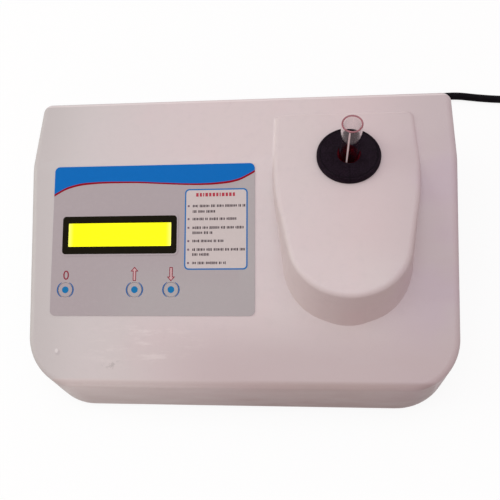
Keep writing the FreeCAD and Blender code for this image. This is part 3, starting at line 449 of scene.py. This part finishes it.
def display_glow():
    """The lit area: a yellow that pales at both ends, with the faint grid of character cells."""
    look = Finish("display_glow", srgb(252, 252, 6), 0.3, Specular_IOR_Level=0.1)
    low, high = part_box("lcd_glass")
    cells = look.add("ShaderNodeTexBrick", offset=0.0, squash=1.0)
    cells.inputs["Scale"].default_value = 1.0
    cells.inputs["Brick Width"].default_value = CELL_WIDTH
    cells.inputs["Row Height"].default_value = CELL_HEIGHT
    cells.inputs["Mortar Size"].default_value = 0.0003
    cells.inputs["Mortar Smooth"].default_value = 0.2
    look.link(look.moved(location=(-low[0], -low[1], 0)), cells.inputs["Vector"])
    look.tint(look.both(cells.outputs["Fac"], 0.06), srgb(214, 206, 10))
    x, y, _ = look.axes()
    middle = (low[0] + high[0]) / 2
    half = (high[0] - low[0]) / 2
    side = look.maths("ABSOLUTE", look.maths("SUBTRACT", x, middle))
    look.tint(look.band(side, half - 0.0060, half, 0.0, 0.6), srgb(255, 255, 170))
    lower = look.band(y, *(on_panel(0, v)[1] for v in LIT_LOW), 1.0, 0.0)
    upper = look.band(y, *(on_panel(0, v)[1] for v in LIT_HIGH))
    look.tint(look.maths("ADD", lower, upper), srgb(16, 12, 3))
    look.link(look.colour_now(), look.shader.inputs["Emission Color"])
    look.shader.inputs["Emission Strength"].default_value = 0.55
    return look.material


def board_laminate():
    look = Finish("board_laminate", srgb(28, 94, 52), 0.4)
    tracks = look.add("ShaderNodeTexBrick", offset=0.35)
    tracks.inputs["Scale"].default_value = 90.0
    tracks.inputs["Mortar Size"].default_value = 0.05
    look.link(look.place, tracks.inputs["Vector"])
    look.tint(look.both(tracks.outputs["Fac"], 0.6), srgb(58, 140, 78))
    look.tint(look.band(look.cells(420.0), 0.0, 0.12, 0.8, 0.0), srgb(196, 184, 150))
    look.bump(tracks.outputs["Fac"], 0.2, 0.0001)
    return look.material


def rubber_skin():
    look = Finish("lead_rubber", srgb(11, 7, 11), 0.6, Specular_IOR_Level=0.05)
    look.tint(look.band(look.noise(90.0, 5.0, 0.65), 0.45, 0.75, 0.0, 0.6), srgb(26, 21, 27))
    look.tint(look.band(look.cells(700.0), 0.0, 0.15, 0.2, 0.0), srgb(80, 74, 78))
    look.rough(look.noise(150.0, 4.0, 0.6), 0.45, 0.7)
    look.bump(look.noise(1100.0, 2.0, 0.5), 0.15, 0.00015)
    return look.material


def winding_tape():
    look = Finish("winding_tape", srgb(196, 158, 52), 0.35)
    wraps = look.add("ShaderNodeTexWave", bands_direction="Z")
    wraps.inputs["Scale"].default_value = 60.0
    wraps.inputs["Distortion"].default_value = 1.0
    look.link(look.place, wraps.inputs["Vector"])
    look.tint(look.band(wraps.outputs["Fac"], 0.7, 0.95, 0.0, 0.5), srgb(150, 112, 30))
    look.bump(wraps.outputs["Fac"], 0.3, 0.0003)
    return look.material


def core_laminations():
    look = Finish("core_laminations", srgb(84, 80, 80), 0.5, 0.7)
    sheets = look.add("ShaderNodeTexWave", bands_direction="Y")
    sheets.inputs["Scale"].default_value = 320.0
    look.link(look.place, sheets.inputs["Vector"])
    look.tint(look.band(sheets.outputs["Fac"], 0.5, 0.9, 0.0, 0.7), srgb(48, 45, 44))
    look.tint(look.band(look.noise(120.0, 5.0, 0.7), 0.6, 0.75, 0.0, 0.4), srgb(110, 72, 50))
    look.bump(sheets.outputs["Fac"], 0.4, 0.0002)
    return look.material


def ribbon_wires():
    look = Finish("ribbon_wires", srgb(168, 168, 172), 0.5)
    wires = look.add("ShaderNodeTexWave", bands_direction="X")
    wires.inputs["Scale"].default_value = 250.0
    look.link(look.place, wires.inputs["Vector"])
    look.tint(look.band(wires.outputs["Fac"], 0.2, 0.4, 0.6, 0.0), srgb(110, 110, 116))
    look.bump(wires.outputs["Fac"], 0.5, 0.0003)
    return look.material


def dress_nodes():
    """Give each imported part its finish, and hand back the two that pieces of this file share."""
    white = moulded_housing()
    screw = metal("screw_steel", srgb(176, 176, 180), 0.32)
    board = board_laminate()
    black = plain_plastic("black_component", srgb(30, 30, 33), 0.45)
    collar = turned_collar()
    lead = rubber_skin()
    film = film_print("film_grey", srgb(174, 164, 167), edge_tone=srgb(176, 170, 171))
    switch = plain_plastic("switch_black", srgb(24, 24, 26), 0.28, 1400.0, 0.05)
    plain_metal = metal("pressed_aluminium", srgb(186, 188, 192), 0.36)
    glass = tube_glass()
    lamp = Finish("lamp_epoxy", (0.9, 0.92, 0.97, 1.0), 0.08, Transmission_Weight=0.85, IOR=1.5)
    lamp.bump(lamp.noise(300.0, 2.0, 0.5), 0.05, 0.0001)
    looks = {
        "top_housing": white,
        "base_plate": plain_plastic("base_plate_grey", srgb(150, 145, 146), 0.55, 500.0, 0.25),
        "front_overlay": film, "set_zero_key": film, "up_key": film, "down_key": film,
        "lcd_bezel": painted_bezel(),
        "lcd_glass": display_glow(),
        "lcd_backlight": display_glow(),
        "tube_collar": collar, "tube_holder": collar, "sample_tube": glass, "fuse": glass,
        "lamp_led": lamp.material,
        "capacitors": plain_plastic("capacitor_sleeve", srgb(28, 34, 82), 0.3),
        "trim_pots": plain_plastic("trimmer_blue", srgb(40, 92, 170), 0.4),
        "terminal_block": plain_plastic("terminal_green", srgb(48, 128, 72), 0.45),
        "ribbon_cable": ribbon_wires(),
        "transformer_core": core_laminations(),
        "transformer_winding": winding_tape(),
        "plug_pins": metal("pin_brass", srgb(212, 178, 110), 0.25, (1.0, 14.0, 1.0)),
    }
    alike = (
        (screw, ("base_screws", "foot_screws", "lcd_screws", "keypad_screws", "holder_screws", "optics_screws",
                 "main_board_screws", "transformer_screws")),
        (board, ("lcd_board", "keypad_board", "lamp_board", "detector_board", "main_board")),
        (black, ("key_switches", "microcontroller", "amplifier_chips", "voltage_regulator", "ribbon_headers")),
        (plain_metal, ("photodiode", "heat_sink", "transformer_bracket")),
        (switch, ("switch_frame", "power_rocker", "fuse_holder", "fuse_cap")),
        (lead, ("foot_front_left", "foot_front_right", "foot_rear_left", "foot_rear_right", "cord_gland",
                "plug")),
    )
    for material, names in alike:
        for name in names:
            looks[name] = material
    for name, material in looks.items():
        mesh = bpy.data.objects[name].data
        mesh.materials.clear()
        mesh.materials.append(material)
    return lead, film


# New pieces

def piece(name, bm, material, body, matrix=None):
    """Make a mesh a piece of the object, which rides one body and takes one material slot."""
    if matrix is not None:
        bmesh.ops.transform(bm, matrix=matrix, verts=bm.verts)
    mesh = bpy.data.meshes.new(name)
    bm.to_mesh(mesh)
    bm.free()
    mesh.materials.append(material)
    obj = bpy.data.objects.new(name, mesh)
    bpy.context.scene.collection.objects.link(obj)
    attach(obj, body)


def printed(name, bm, ink, body="instrument"):
    """A print on the panel, laid out in its millimetres."""
    piece(name, bm, ink, body, PANEL)


# Heights over the panel, in millimetres: where ink starts, just inside the film, where it ends, and how much
# higher a second and a third layer of it end
PRINT_LOW = FILM - 0.02
PRINT_HIGH = FILM + 0.05
DOT_HIGH = FILM + 0.04
SECOND_INK = 0.03
THIRD_INK = 0.06


def thicken(bm, low=PRINT_LOW, high=PRINT_HIGH):
    """Turn flat faces at zero into a thin layer of ink that lies between two heights over the panel."""
    bmesh.ops.recalc_face_normals(bm, faces=bm.faces)
    for face in bm.faces:
        if face.normal.z < 0:
            face.normal_flip()
    bmesh.ops.translate(bm, vec=(0, 0, low), verts=bm.verts)
    flat = list(bm.faces)
    result = bmesh.ops.extrude_face_region(bm, geom=flat)
    raised = [v for v in result["geom"] if isinstance(v, bmesh.types.BMVert)]
    bmesh.ops.translate(bm, vec=(0, 0, high - low), verts=raised)
    bmesh.ops.recalc_face_normals(bm, faces=bm.faces)


def bar(bm, x, v, width, height, corner=0.0):
    """A flat rectangle about x and v, or one with rounded corners."""
    made = bmesh.ops.create_grid(bm, x_segments=1, y_segments=1, size=0.5)["verts"]
    bmesh.ops.scale(bm, vec=(width, height, 1), verts=made)
    bmesh.ops.translate(bm, vec=(x, v, 0), verts=made)
    if corner:
        bmesh.ops.bevel(bm, geom=made, offset=corner, segments=5, profile=0.5, affect="VERTICES", material=-1)


# Places along the middle of the header's red line, in millimetres: across the panel and up it
WAVE = ((-115.6, 25.0), (-108.0, 29.1), (-99.3, 31.5), (-91.0, 32.3), (-83.4, 32.6), (-72.0, 32.55),
        (-61.2, 32.3), (-46.0, 31.4), (-29.9, 30.6), (-18.0, 30.6), (-8.4, 31.3), (-3.5, 32.1),
        (0.8, 33.3), (5.4, 35.5), (9.8, 38.0))


def wave_height(x):
    """The red line's middle at x, as a smooth curve through the chosen places."""
    x = min(max(x, WAVE[0][0]), WAVE[-1][0])
    i = 0
    while i < len(WAVE) - 2 and x > WAVE[i + 1][0]:
        i += 1
    before = WAVE[max(i - 1, 0)]
    low = WAVE[i]
    high = WAVE[i + 1]
    after = WAVE[min(i + 2, len(WAVE) - 1)]
    span = high[0] - low[0]
    slope_low = (high[1] - before[1]) / (high[0] - before[0])
    slope_high = (after[1] - low[1]) / (after[0] - low[0])
    t = (x - low[0]) / span
    return (low[1] * (2 * t ** 3 - 3 * t ** 2 + 1) + slope_low * span * (t ** 3 - 2 * t ** 2 + t)
            + high[1] * (3 * t ** 2 - 2 * t ** 3) + slope_high * span * (t ** 3 - t ** 2))


def film_top(x):
    """The film's upper edge at x, with its rounded corners."""
    near = min(x - FILM_LEFT, FILM_RIGHT - x)
    if near >= FILM_ROUND:
        return FILM_TOP
    return FILM_TOP - FILM_ROUND + math.sqrt(max(FILM_ROUND ** 2 - (FILM_ROUND - near) ** 2, 0.0))


def line_half(x):
    """Half the red line's width at x: it swells near both ends of the header."""
    middle = (FILM_LEFT + FILM_RIGHT) / 2
    return 0.46 + 0.22 * min(abs(x - middle) / 45.0, 1.0) ** 2


def line_low(x):
    return wave_height(x) - line_half(x)


def line_high(x):
    return wave_height(x) + line_half(x)


def make_header():
    """The blue field and its red line: strips between two curves, with closer steps near both ends."""
    blue = film_print("header_blue", srgb(9, 106, 186))
    red = film_print("header_red", srgb(144, 10, 30))
    steps = 96
    width = FILM_RIGHT - FILM_LEFT
    inside = 0.05
    for name, ink, bottom, top in (("header_print", blue, line_high, film_top),
                                   ("header_line", red, line_low, line_high)):
        bm = bmesh.new()
        bmesh.ops.create_grid(bm, x_segments=steps, y_segments=1, size=0.5)
        for vert in bm.verts:
            upper = vert.co.y > 0
            t = vert.co.x + 0.5
            x = FILM_LEFT + width * (3 * t ** 2 - 2 * t ** 3) * 0.5 + width * t * 0.5
            x = min(max(x, FILM_LEFT + inside), FILM_RIGHT - inside)
            vert.co = (x, min(top(x), film_top(x)) if upper else bottom(x), 0)
        thicken(bm)
        printed(name, bm, ink)


# The lip of the film's window, in millimetres: its top, and the width, height and corner of its outer and
# inner edge
LIP_HIGH = FILM + 0.24
LIP_OUTER = (73.2, 25.8, 2.7)
LIP_INNER = (71.6, 23.35, 2.1)
LIP_INNER_V = -0.18


def make_window_lip(film):
    """The film's lip round the display's window, which laps over the edge of the bezel."""
    bm = bmesh.new()
    low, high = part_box("lcd_bezel")
    middle = ((low[0] + high[0]) / 2 - panel_x) / MM
    bar(bm, middle, 0.0, *LIP_OUTER)
    bar(bm, middle, LIP_INNER_V, *LIP_INNER)
    bmesh.ops.delete(bm, geom=list(bm.faces), context="FACES_ONLY")
    bmesh.ops.bridge_loops(bm, edges=bm.edges)
    thicken(bm, PRINT_LOW, LIP_HIGH)
    printed("window_lip", bm, film)


# The card on the panel, in millimetres: its middle, its size and its border, and where its lines start
CARD_X = -13.7
CARD_V = 2.9
CARD_WIDTH = 38.4
CARD_HEIGHT = 49.4
CARD_BORDER = 0.85
LINE_X = -28.0
BULLET_X = -30.5
BULLET_SIZE = 1.25

# Its lines: how far up each is, where it ends, and 1 where it starts with a bullet
CARD_ROWS = ((17.0, 4.3, 1), (13.6, -14.0, 0), (9.0, -1.0, 1), (3.7, 3.9, 1), (0.6, -16.0, 0), (-4.4, -8.8, 1),
             (-9.6, 4.3, 1), (-12.6, -16.2, 0), (-17.7, -7.2, 1))

# The blocks that stand for words: their widths, their heights, and how many make one word, by turns
BLOCK_WIDTHS = (0.66, 0.5, 0.74, 0.34, 0.6, 0.7, 0.46)
BLOCK_HEIGHTS = (1.5, 1.65, 1.5, 1.35, 1.6, 1.5, 1.3, 1.6)
WORD_LENGTHS = (4, 7, 3, 5, 8, 2, 6)
BLOCK_GAP = 0.32
WORD_GAP = 0.75

# Its heading: the bars' row, start, number, widths by turns, height and gap
HEADING_ROW = 23.9
HEADING_X = -26.0
HEADING_BARS = 12
HEADING_WIDTHS = (1.5, 1.3, 0.7, 1.6, 1.4)
HEADING_HEIGHT = 2.2
HEADING_GAP = 0.72


def card_line(bm, number, row, end):
    """One line of plain blocks in groups, from the card's left margin to its end."""
    at = LINE_X
    count = number * 3
    word = number * 2
    left = WORD_LENGTHS[word % len(WORD_LENGTHS)]
    while at < end - 0.6:
        width = BLOCK_WIDTHS[count % len(BLOCK_WIDTHS)]
        bar(bm, at + width / 2, row, width, BLOCK_HEIGHTS[(count * 3) % len(BLOCK_HEIGHTS)])
        at += width + BLOCK_GAP
        count += 1
        left -= 1
        if left == 0:
            at += WORD_GAP
            word += 1
            left = WORD_LENGTHS[word % len(WORD_LENGTHS)]


def make_card():
    """The card with its blue border, a plain heading of bars, and plain lines with bullets."""
    blue = film_print("card_blue", srgb(42, 112, 176))
    white = film_print("card_white", srgb(204, 194, 192))
    ink = film_print("text_ink", srgb(68, 54, 60))
    dot = film_print("bullet_ink", srgb(120, 98, 112))
    heading = film_print("heading_red", srgb(176, 62, 76))
    bm = bmesh.new()
    bar(bm, CARD_X, CARD_V, CARD_WIDTH, CARD_HEIGHT, 2.6)
    thicken(bm)
    printed("card_border", bm, blue)
    bm = bmesh.new()
    bar(bm, CARD_X, CARD_V, CARD_WIDTH - 2 * CARD_BORDER, CARD_HEIGHT - 2 * CARD_BORDER, 2.0)
    thicken(bm, PRINT_LOW, PRINT_HIGH + SECOND_INK)
    printed("instruction_card", bm, white)

    lines = bmesh.new()
    bullets = bmesh.new()
    for number, (row, end, first) in enumerate(CARD_ROWS):
        card_line(lines, number, row, end)
        if first:
            bar(bullets, BULLET_X, row, BULLET_SIZE, BULLET_SIZE, 0.4)
    marks = bmesh.new()
    at = HEADING_X
    for number in range(HEADING_BARS):
        width = HEADING_WIDTHS[number % len(HEADING_WIDTHS)]
        bar(marks, at + width / 2, HEADING_ROW, width, HEADING_HEIGHT)
        at += width + HEADING_GAP
    for name, bm, look in (("instruction_bars", lines, ink), ("instruction_bullets", bullets, dot),
                           ("heading_bars", marks, heading)):
        thicken(bm, PRINT_LOW, PRINT_HIGH + THIRD_INK)
        printed(name, bm, look)


# The keys' marks, in millimetres on the panel. The brackets lie just outside the keys' own discs.
KEYS = {"set_zero": -106.3, "up": -63.1, "down": -40.7}
KEY_ROW = -33.6
DOT_RADIUS = 2.05
ARROWS = ((-63.3, 1), (-40.8, -1))
ARROW_ROW = -24.2
ARROW_OUTLINE = ((-1.0, -4.1), (1.0, -4.1), (1.0, 1.6), (2.5, 1.6), (0, 4.4), (-2.5, 1.6), (-1.0, 1.6))
ARROW_LINE = 0.46
BRACKET_INNER = 4.54
BRACKET_OUTER = 5.38
BRACKET_MIDDLE = 4.96
BRACKET_REACH = math.radians(124)
ZERO_PLACE = (-106.1, -25.0, 0)
ZERO_SIZE = 8.0


def arrow(bm, x, way):
    """The flat outline of an arrow over a key, up the panel or down it."""
    corners = [bm.verts.new((x + across, ARROW_ROW + way * along, 0)) for across, along in ARROW_OUTLINE]
    face = bm.faces.new(corners)
    face.normal_update()
    return face


def make_key_dots():
    """A dot on each key, which goes down with it."""
    blue = film_print("dot_blue", srgb(26, 116, 172))
    for name, x in KEYS.items():
        bm = bmesh.new()
        bmesh.ops.create_circle(bm, cap_ends=True, segments=40, radius=DOT_RADIUS)
        bmesh.ops.translate(bm, vec=(x, KEY_ROW, 0), verts=bm.verts)
        thicken(bm, PRINT_LOW, DOT_HIGH)
        printed(name + "_dot", bm, blue, name + "_button")


def make_key_brackets():
    """Two arcs round each key, widest at their middles and thin at their ends."""
    blue = film_print("bracket_blue", srgb(62, 102, 158))
    bm = bmesh.new()
    for x in KEYS.values():
        for side in (0.0, math.pi):
            inner = bm.verts.new((BRACKET_INNER, 0, 0))
            outer = bm.verts.new((BRACKET_OUTER, 0, 0))
            edge = bm.edges.new((inner, outer))
            start = Matrix.Rotation(side - BRACKET_REACH / 2, 3, "Z")
            bmesh.ops.rotate(bm, cent=(0, 0, 0), matrix=start, verts=[inner, outer])
            bmesh.ops.spin(bm, geom=[inner, outer, edge], cent=(0, 0, 0), axis=(0, 0, 1), dvec=(0, 0, 0),
                           angle=BRACKET_REACH, steps=20)
            arc = [vert for vert in bm.verts if not vert.tag]
            for vert in arc:
                swing = math.atan2(vert.co.y, vert.co.x) - side
                swing = abs((swing + math.pi) % (2 * math.pi) - math.pi)
                taper = 1 - 0.7 * (swing / (BRACKET_REACH / 2)) ** 2
                now = math.hypot(vert.co.x, vert.co.y)
                scale = (BRACKET_MIDDLE + (now - BRACKET_MIDDLE) * taper) / now
                vert.co.x *= scale
                vert.co.y *= scale
                vert.tag = True
            bmesh.ops.translate(bm, vec=(x, KEY_ROW, 0), verts=arc)
    thicken(bm)
    printed("key_brackets", bm, blue)


def make_key_arrows(red):
    """The arrows over two keys: a pale fill, and a line round it."""
    pink = film_print("arrow_pink", srgb(204, 168, 170))
    bm = bmesh.new()
    for x, way in ARROWS:
        arrow(bm, x, way)
    thicken(bm)
    printed("arrow_fills", bm, pink)
    bm = bmesh.new()
    for x, way in ARROWS:
        face = arrow(bm, x, way)
        bmesh.ops.inset_region(bm, faces=[face], thickness=ARROW_LINE, use_boundary=True, use_even_offset=True)
        bmesh.ops.delete(bm, geom=[face], context="FACES_ONLY")
    thicken(bm, PRINT_LOW, PRINT_HIGH + SECOND_INK)
    printed("arrow_marks", bm, red)


def make_zero_mark(red):
    """The numeral over the first key."""
    text = bpy.data.curves.new("zero_mark", "FONT")
    text.body = "0"
    text.size = ZERO_SIZE
    text.align_x = "CENTER"
    text.align_y = "CENTER"
    made = bpy.data.objects.new("zero_text", text)
    bpy.context.scene.collection.objects.link(made)
    bpy.context.view_layer.update()
    shape = bpy.data.meshes.new_from_object(made.evaluated_get(bpy.context.evaluated_depsgraph_get()))
    bm = bmesh.new()
    bm.from_mesh(shape)
    bpy.data.objects.remove(made)
    bpy.data.curves.remove(text)
    bpy.data.meshes.remove(shape)
    bmesh.ops.remove_doubles(bm, verts=bm.verts, dist=0.0001)
    bmesh.ops.translate(bm, vec=ZERO_PLACE, verts=bm.verts)
    thicken(bm)
    printed("zero_mark", bm, red)


def make_key_marks():
    make_key_dots()
    make_key_brackets()
    red = film_print("mark_red", srgb(140, 40, 56))
    make_key_arrows(red)
    make_zero_mark(red)


# The line down the tube: its thickness, length and width, its middle below the rim, and the side it is on
TUBE_LINE = (0.00006, 0.039, 0.00095)
TUBE_LINE_DROP = 0.0205
TUBE_LINE_SIDE = math.radians(-105.7)


def make_tube_line():
    """The pale line printed down the outside of the tube."""
    low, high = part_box("sample_tube")
    axis = Vector(((low[0] + high[0]) / 2, (low[1] + high[1]) / 2, 0))
    outer = (high[0] - low[0]) / 2
    pale = film_print("tube_line_white", srgb(226, 206, 209))
    thickness, length, width = TUBE_LINE
    reach = width / outer
    bm = bmesh.new()
    made = bmesh.ops.create_grid(bm, x_segments=1, y_segments=1, size=0.5)["verts"]
    bmesh.ops.scale(bm, vec=(thickness, length, 1), verts=made)
    bmesh.ops.rotate(bm, cent=(0, 0, 0), matrix=Matrix.Rotation(math.pi / 2, 3, "X"), verts=made)
    bmesh.ops.translate(bm, vec=(outer, 0, high[2] - TUBE_LINE_DROP), verts=made)
    start = Matrix.Rotation(TUBE_LINE_SIDE - reach / 2, 3, "Z")
    bmesh.ops.rotate(bm, cent=(0, 0, 0), matrix=start, verts=made)
    bmesh.ops.spin(bm, geom=list(bm.faces) + list(bm.edges) + made, cent=(0, 0, 0), axis=(0, 0, 1),
                   dvec=(0, 0, 0), angle=reach, steps=4)
    bmesh.ops.translate(bm, vec=axis, verts=bm.verts)
    bmesh.ops.recalc_face_normals(bm, faces=bm.faces)
    piece("tube_line", bm, pale, "tube")


# The rear wall: its tilt, and the middle of the rocker on it, in millimetres
REAR_TILT = math.radians(1.543)
ROCKER = (30.0, 87.17, 26.0)
REAR = Matrix.Scale(MM, 4) @ Matrix.Translation(ROCKER) @ Matrix.Rotation(REAR_TILT - math.pi / 2, 4, "X")

# Each mark's place on the rocker: up the wall, out of it, and the tilt of the face there. ON is a bar with a
# width and a height, and OFF is a ring with a radius and a line.
ON_PLACE = (-4.6, 1.672, math.radians(9.5))
OFF_PLACE = (4.0, 3.359, math.radians(12.5))
ON_BAR = (0.75, 3.2)
OFF_RADIUS = 1.65
OFF_LINE = 0.6
MARK_HEIGHT = 0.06


def on_rocker(along, out, tilt):
    return REAR @ Matrix.Translation((0, along, out)) @ Matrix.Rotation(tilt, 4, "X")


def make_rocker_marks():
    """The bar of ON and the ring of OFF, printed on the rocker's two faces."""
    white = film_print("rocker_white", srgb(214, 212, 208))
    bm = bmesh.new()
    bar(bm, 0.0, 0.0, *ON_BAR)
    thicken(bm, 0.0, MARK_HEIGHT)
    piece("rocker_on_mark", bm, white, "switch_rocker", on_rocker(*ON_PLACE))
    bm = bmesh.new()
    bmesh.ops.create_circle(bm, cap_ends=True, segments=36, radius=OFF_RADIUS)
    bm.normal_update()
    whole = bm.faces[:]
    bmesh.ops.inset_region(bm, faces=whole, thickness=OFF_LINE, use_boundary=True, use_even_offset=True)
    bmesh.ops.delete(bm, geom=whole, context="FACES_ONLY")
    thicken(bm, 0.0, MARK_HEIGHT)
    piece("rocker_off_mark", bm, white, "switch_rocker", on_rocker(*OFF_PLACE))


# Screws under the base, in millimetres, and the height of the faces of their heads
BASE_SCREWS = ((-108, -72.84), (0, -72.84), (108, -72.84), (-94, 72.76), (0, 72.76), (94, 72.76))
BASE_SCREW_FACE = 4.2
FOOT_SCREWS = ((-86, -66.84), (86, -66.84), (-114, 63.76), (114, 63.76))
FOOT_SCREW_FACE = 0.4
CROSS_WIDTH = 0.6
CROSS_LENGTH = 2.7
CROSS_DEPTH = 0.06


def make_screw_cross_shades():
    """Painted shade: the cross in the head of each screw under the base, as a thin dark shape on its face that
    stands for the shade in its recess.
    """
    dark = metal("screw_cross", srgb(48, 46, 48), 0.6)
    for name, places, face in (("base_screw_crosses", BASE_SCREWS, BASE_SCREW_FACE),
                               ("foot_screw_crosses", FOOT_SCREWS, FOOT_SCREW_FACE)):
        bm = bmesh.new()
        for x, y in places:
            for across, along, lift in ((CROSS_WIDTH, CROSS_LENGTH, 0.0), (CROSS_LENGTH, CROSS_WIDTH, 0.005)):
                low = face - 0.04 - lift
                made = bmesh.ops.create_cube(bm, size=1.0)["verts"]
                bmesh.ops.scale(bm, vec=(across, along, CROSS_DEPTH), verts=made)
                bmesh.ops.translate(bm, vec=(x, y, low + CROSS_DEPTH / 2), verts=made)
        piece(name, bm, dark, "instrument", Matrix.Scale(MM, 4))


# The lead: its thickness in metres, its free route in millimetres, the turns in one layer of its coil, and
# the points in each turn
CORD = 0.0056
ROUTE = [(113.0, 107.48, 14.54), (113.0, 119.98, 14.88), (117.6, 131.2, 11.4), (127.5, 139.1, 6.9),
         (142.8, 141.5, 3.4), (158.6, 143.2, 2.8), (173.8, 140.3, 2.8), (189.2, 138.2, 2.8),
         (205.7, 137.3, 2.8), (223.8, 137.0, 2.8)]
COIL_TURNS = 3
TURN_POINTS = 16


def lead_points():
    """The route's points, then the turns of the coil: inwards below, outwards above, and off to the plug."""
    points = [Vector(p) * MM for p in ROUTE]
    low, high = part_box("cord_coil")
    centre = Vector(((low[0] + high[0]) / 2, (low[1] + high[1]) / 2, 0))
    outer = (high[0] - low[0]) / 2 - CORD / 2
    swell = 1 / math.cos(math.pi / TURN_POINTS)
    step = 2 * math.pi / TURN_POINTS

    def at(number, radius, height):
        angle = math.pi / 2 - number * step
        return centre + Vector((math.cos(angle) * radius * swell, math.sin(angle) * radius * swell, height))

    number = 0.5
    for i in range(COIL_TURNS * TURN_POINTS):
        points.append(at(number, outer - CORD * i / TURN_POINTS, CORD / 2))
        number += 1
    inner = outer - CORD * COIL_TURNS
    for i in range(TURN_POINTS):
        rise = min(max((i - 2) / (TURN_POINTS * 0.5), 0.0), 1.0)
        points.append(at(number, inner, CORD / 2 + CORD * rise * rise * (3 - 2 * rise)))
        number += 1
    for i in range(COIL_TURNS * TURN_POINTS):
        points.append(at(number, inner + CORD * i / TURN_POINTS, CORD * 1.5))
        number += 1
    for i in range(TURN_POINTS // 4):
        points.append(at(number, outer, CORD * 1.5))
        number += 1
    for reach in (0.006, 0.016, 0.026):
        points.append(Vector((centre.x + outer, centre.y - reach, CORD * 1.5)))
    return points


def make_lead(rubber):
    points = lead_points()
    curve = bpy.data.curves.new("mains_lead", "CURVE")
    curve.dimensions = "3D"
    curve.bevel_depth = CORD / 2
    curve.bevel_resolution = 5
    curve.use_fill_caps = True
    spline = curve.splines.new("NURBS")
    spline.points.add(len(points) - 1)
    for target, place in zip(spline.points, points):
        target.co = (*place, 1.0)
    spline.order_u = 3
    spline.use_endpoint_u = True
    spline.resolution_u = 6
    curve.materials.append(rubber)
    obj = bpy.data.objects.new("mains_lead", curve)
    bpy.context.scene.collection.objects.link(obj)
    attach(obj, "instrument")
    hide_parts("mains_cord", "cord_coil")


# Floor, backdrop and light

WHITE = (1.0, 1.0, 1.0, 1.0)


def make_floor():
    """A floor that is white to the eye and still takes a shadow, and gives back less light than it shows."""
    look = Finish("studio_floor", (0.18, 0.17, 0.17, 1.0), 0.9)
    path = look.add("ShaderNodeLightPath")
    white = look.add("ShaderNodeEmission")
    white.inputs["Color"].default_value = WHITE
    white.inputs["Strength"].default_value = 1.0
    pale = look.add("ShaderNodeBsdfDiffuse")
    pale.inputs["Color"].default_value = WHITE
    shown = look.add("ShaderNodeMixShader")
    shown.inputs[0].default_value = 0.88
    look.link(pale.outputs[0], shown.inputs[1])
    look.link(white.outputs[0], shown.inputs[2])
    mix = look.add("ShaderNodeMixShader")
    through = look.maths("MAXIMUM", path.outputs["Is Glossy Ray"], path.outputs["Is Transmission Ray"])
    look.link(look.maths("MAXIMUM", path.outputs["Is Camera Ray"], through), mix.inputs[0])
    look.link(look.shader.outputs[0], mix.inputs[1])
    look.link(shown.outputs[0], mix.inputs[2])
    look.link(mix.outputs[0], look.output.inputs["Surface"])
    bm = bmesh.new()
    bmesh.ops.create_grid(bm, x_segments=1, y_segments=1, size=3.0)
    mesh = bpy.data.meshes.new("studio_floor")
    bm.to_mesh(mesh)
    bm.free()
    mesh.materials.append(look.material)
    floor = bpy.data.objects.new("studio_floor", mesh)
    bpy.context.scene.collection.objects.link(floor)


def make_backdrop():
    """A world that is white to the eye, in gloss and through glass, and gives a soft warm light otherwise."""
    world = bpy.data.worlds.new("studio")
    bpy.context.scene.world = world
    world.use_nodes = True
    tree = world.node_tree
    background = tree.nodes["Background"]
    background.inputs["Color"].default_value = (0.68, 0.53, 0.51, 1.0)
    background.inputs["Strength"].default_value = 1.0
    backdrop = tree.nodes.new("ShaderNodeBackground")
    backdrop.inputs["Color"].default_value = WHITE
    rays = tree.nodes.new("ShaderNodeLightPath")
    seen = rays.outputs["Is Camera Ray"]
    for kind in ("Is Transmission Ray", "Is Glossy Ray"):
        either = tree.nodes.new("ShaderNodeMath")
        either.operation = "MAXIMUM"
        tree.links.new(seen, either.inputs[0])
        tree.links.new(rays.outputs[kind], either.inputs[1])
        seen = either.outputs[0]
    mix = tree.nodes.new("ShaderNodeMixShader")
    tree.links.new(seen, mix.inputs[0])
    tree.links.new(background.outputs[0], mix.inputs[1])
    tree.links.new(backdrop.outputs[0], mix.inputs[2])
    tree.links.new(mix.outputs[0], tree.nodes["World Output"].inputs["Surface"])


def lamp(name, place, target, size, power, colour):
    data = bpy.data.lights.new(name, "AREA")
    data.shape = "SQUARE"
    data.size = size
    data.energy = power
    data.color = colour
    obj = bpy.data.objects.new(name, data)
    bpy.context.scene.collection.objects.link(obj)
    obj.location = place
    obj.rotation_euler = (Vector(target) - Vector(place)).to_track_quat("-Z", "Y").to_euler()


def make_light():
    lamp("window", (-1.2, 0.0, 0.7), (0.0, 0.0, 0.03), 0.8, 5.0, (0.80, 0.98, 0.88))
    lamp("ceiling", (0.0, 0.0, 1.6), (0.0, 0.0, 0.0), 1.6, 10.0, (0.65, 0.90, 1.0))


place_camera()
rubber, film = dress_nodes()
make_lead(rubber)
make_header()
make_window_lip(film)
make_card()
make_key_marks()
make_tube_line()
make_rocker_marks()
make_screw_cross_shades()
make_floor()
make_backdrop()
make_light()
bpy.context.scene.view_settings.view_transform = "Standard"
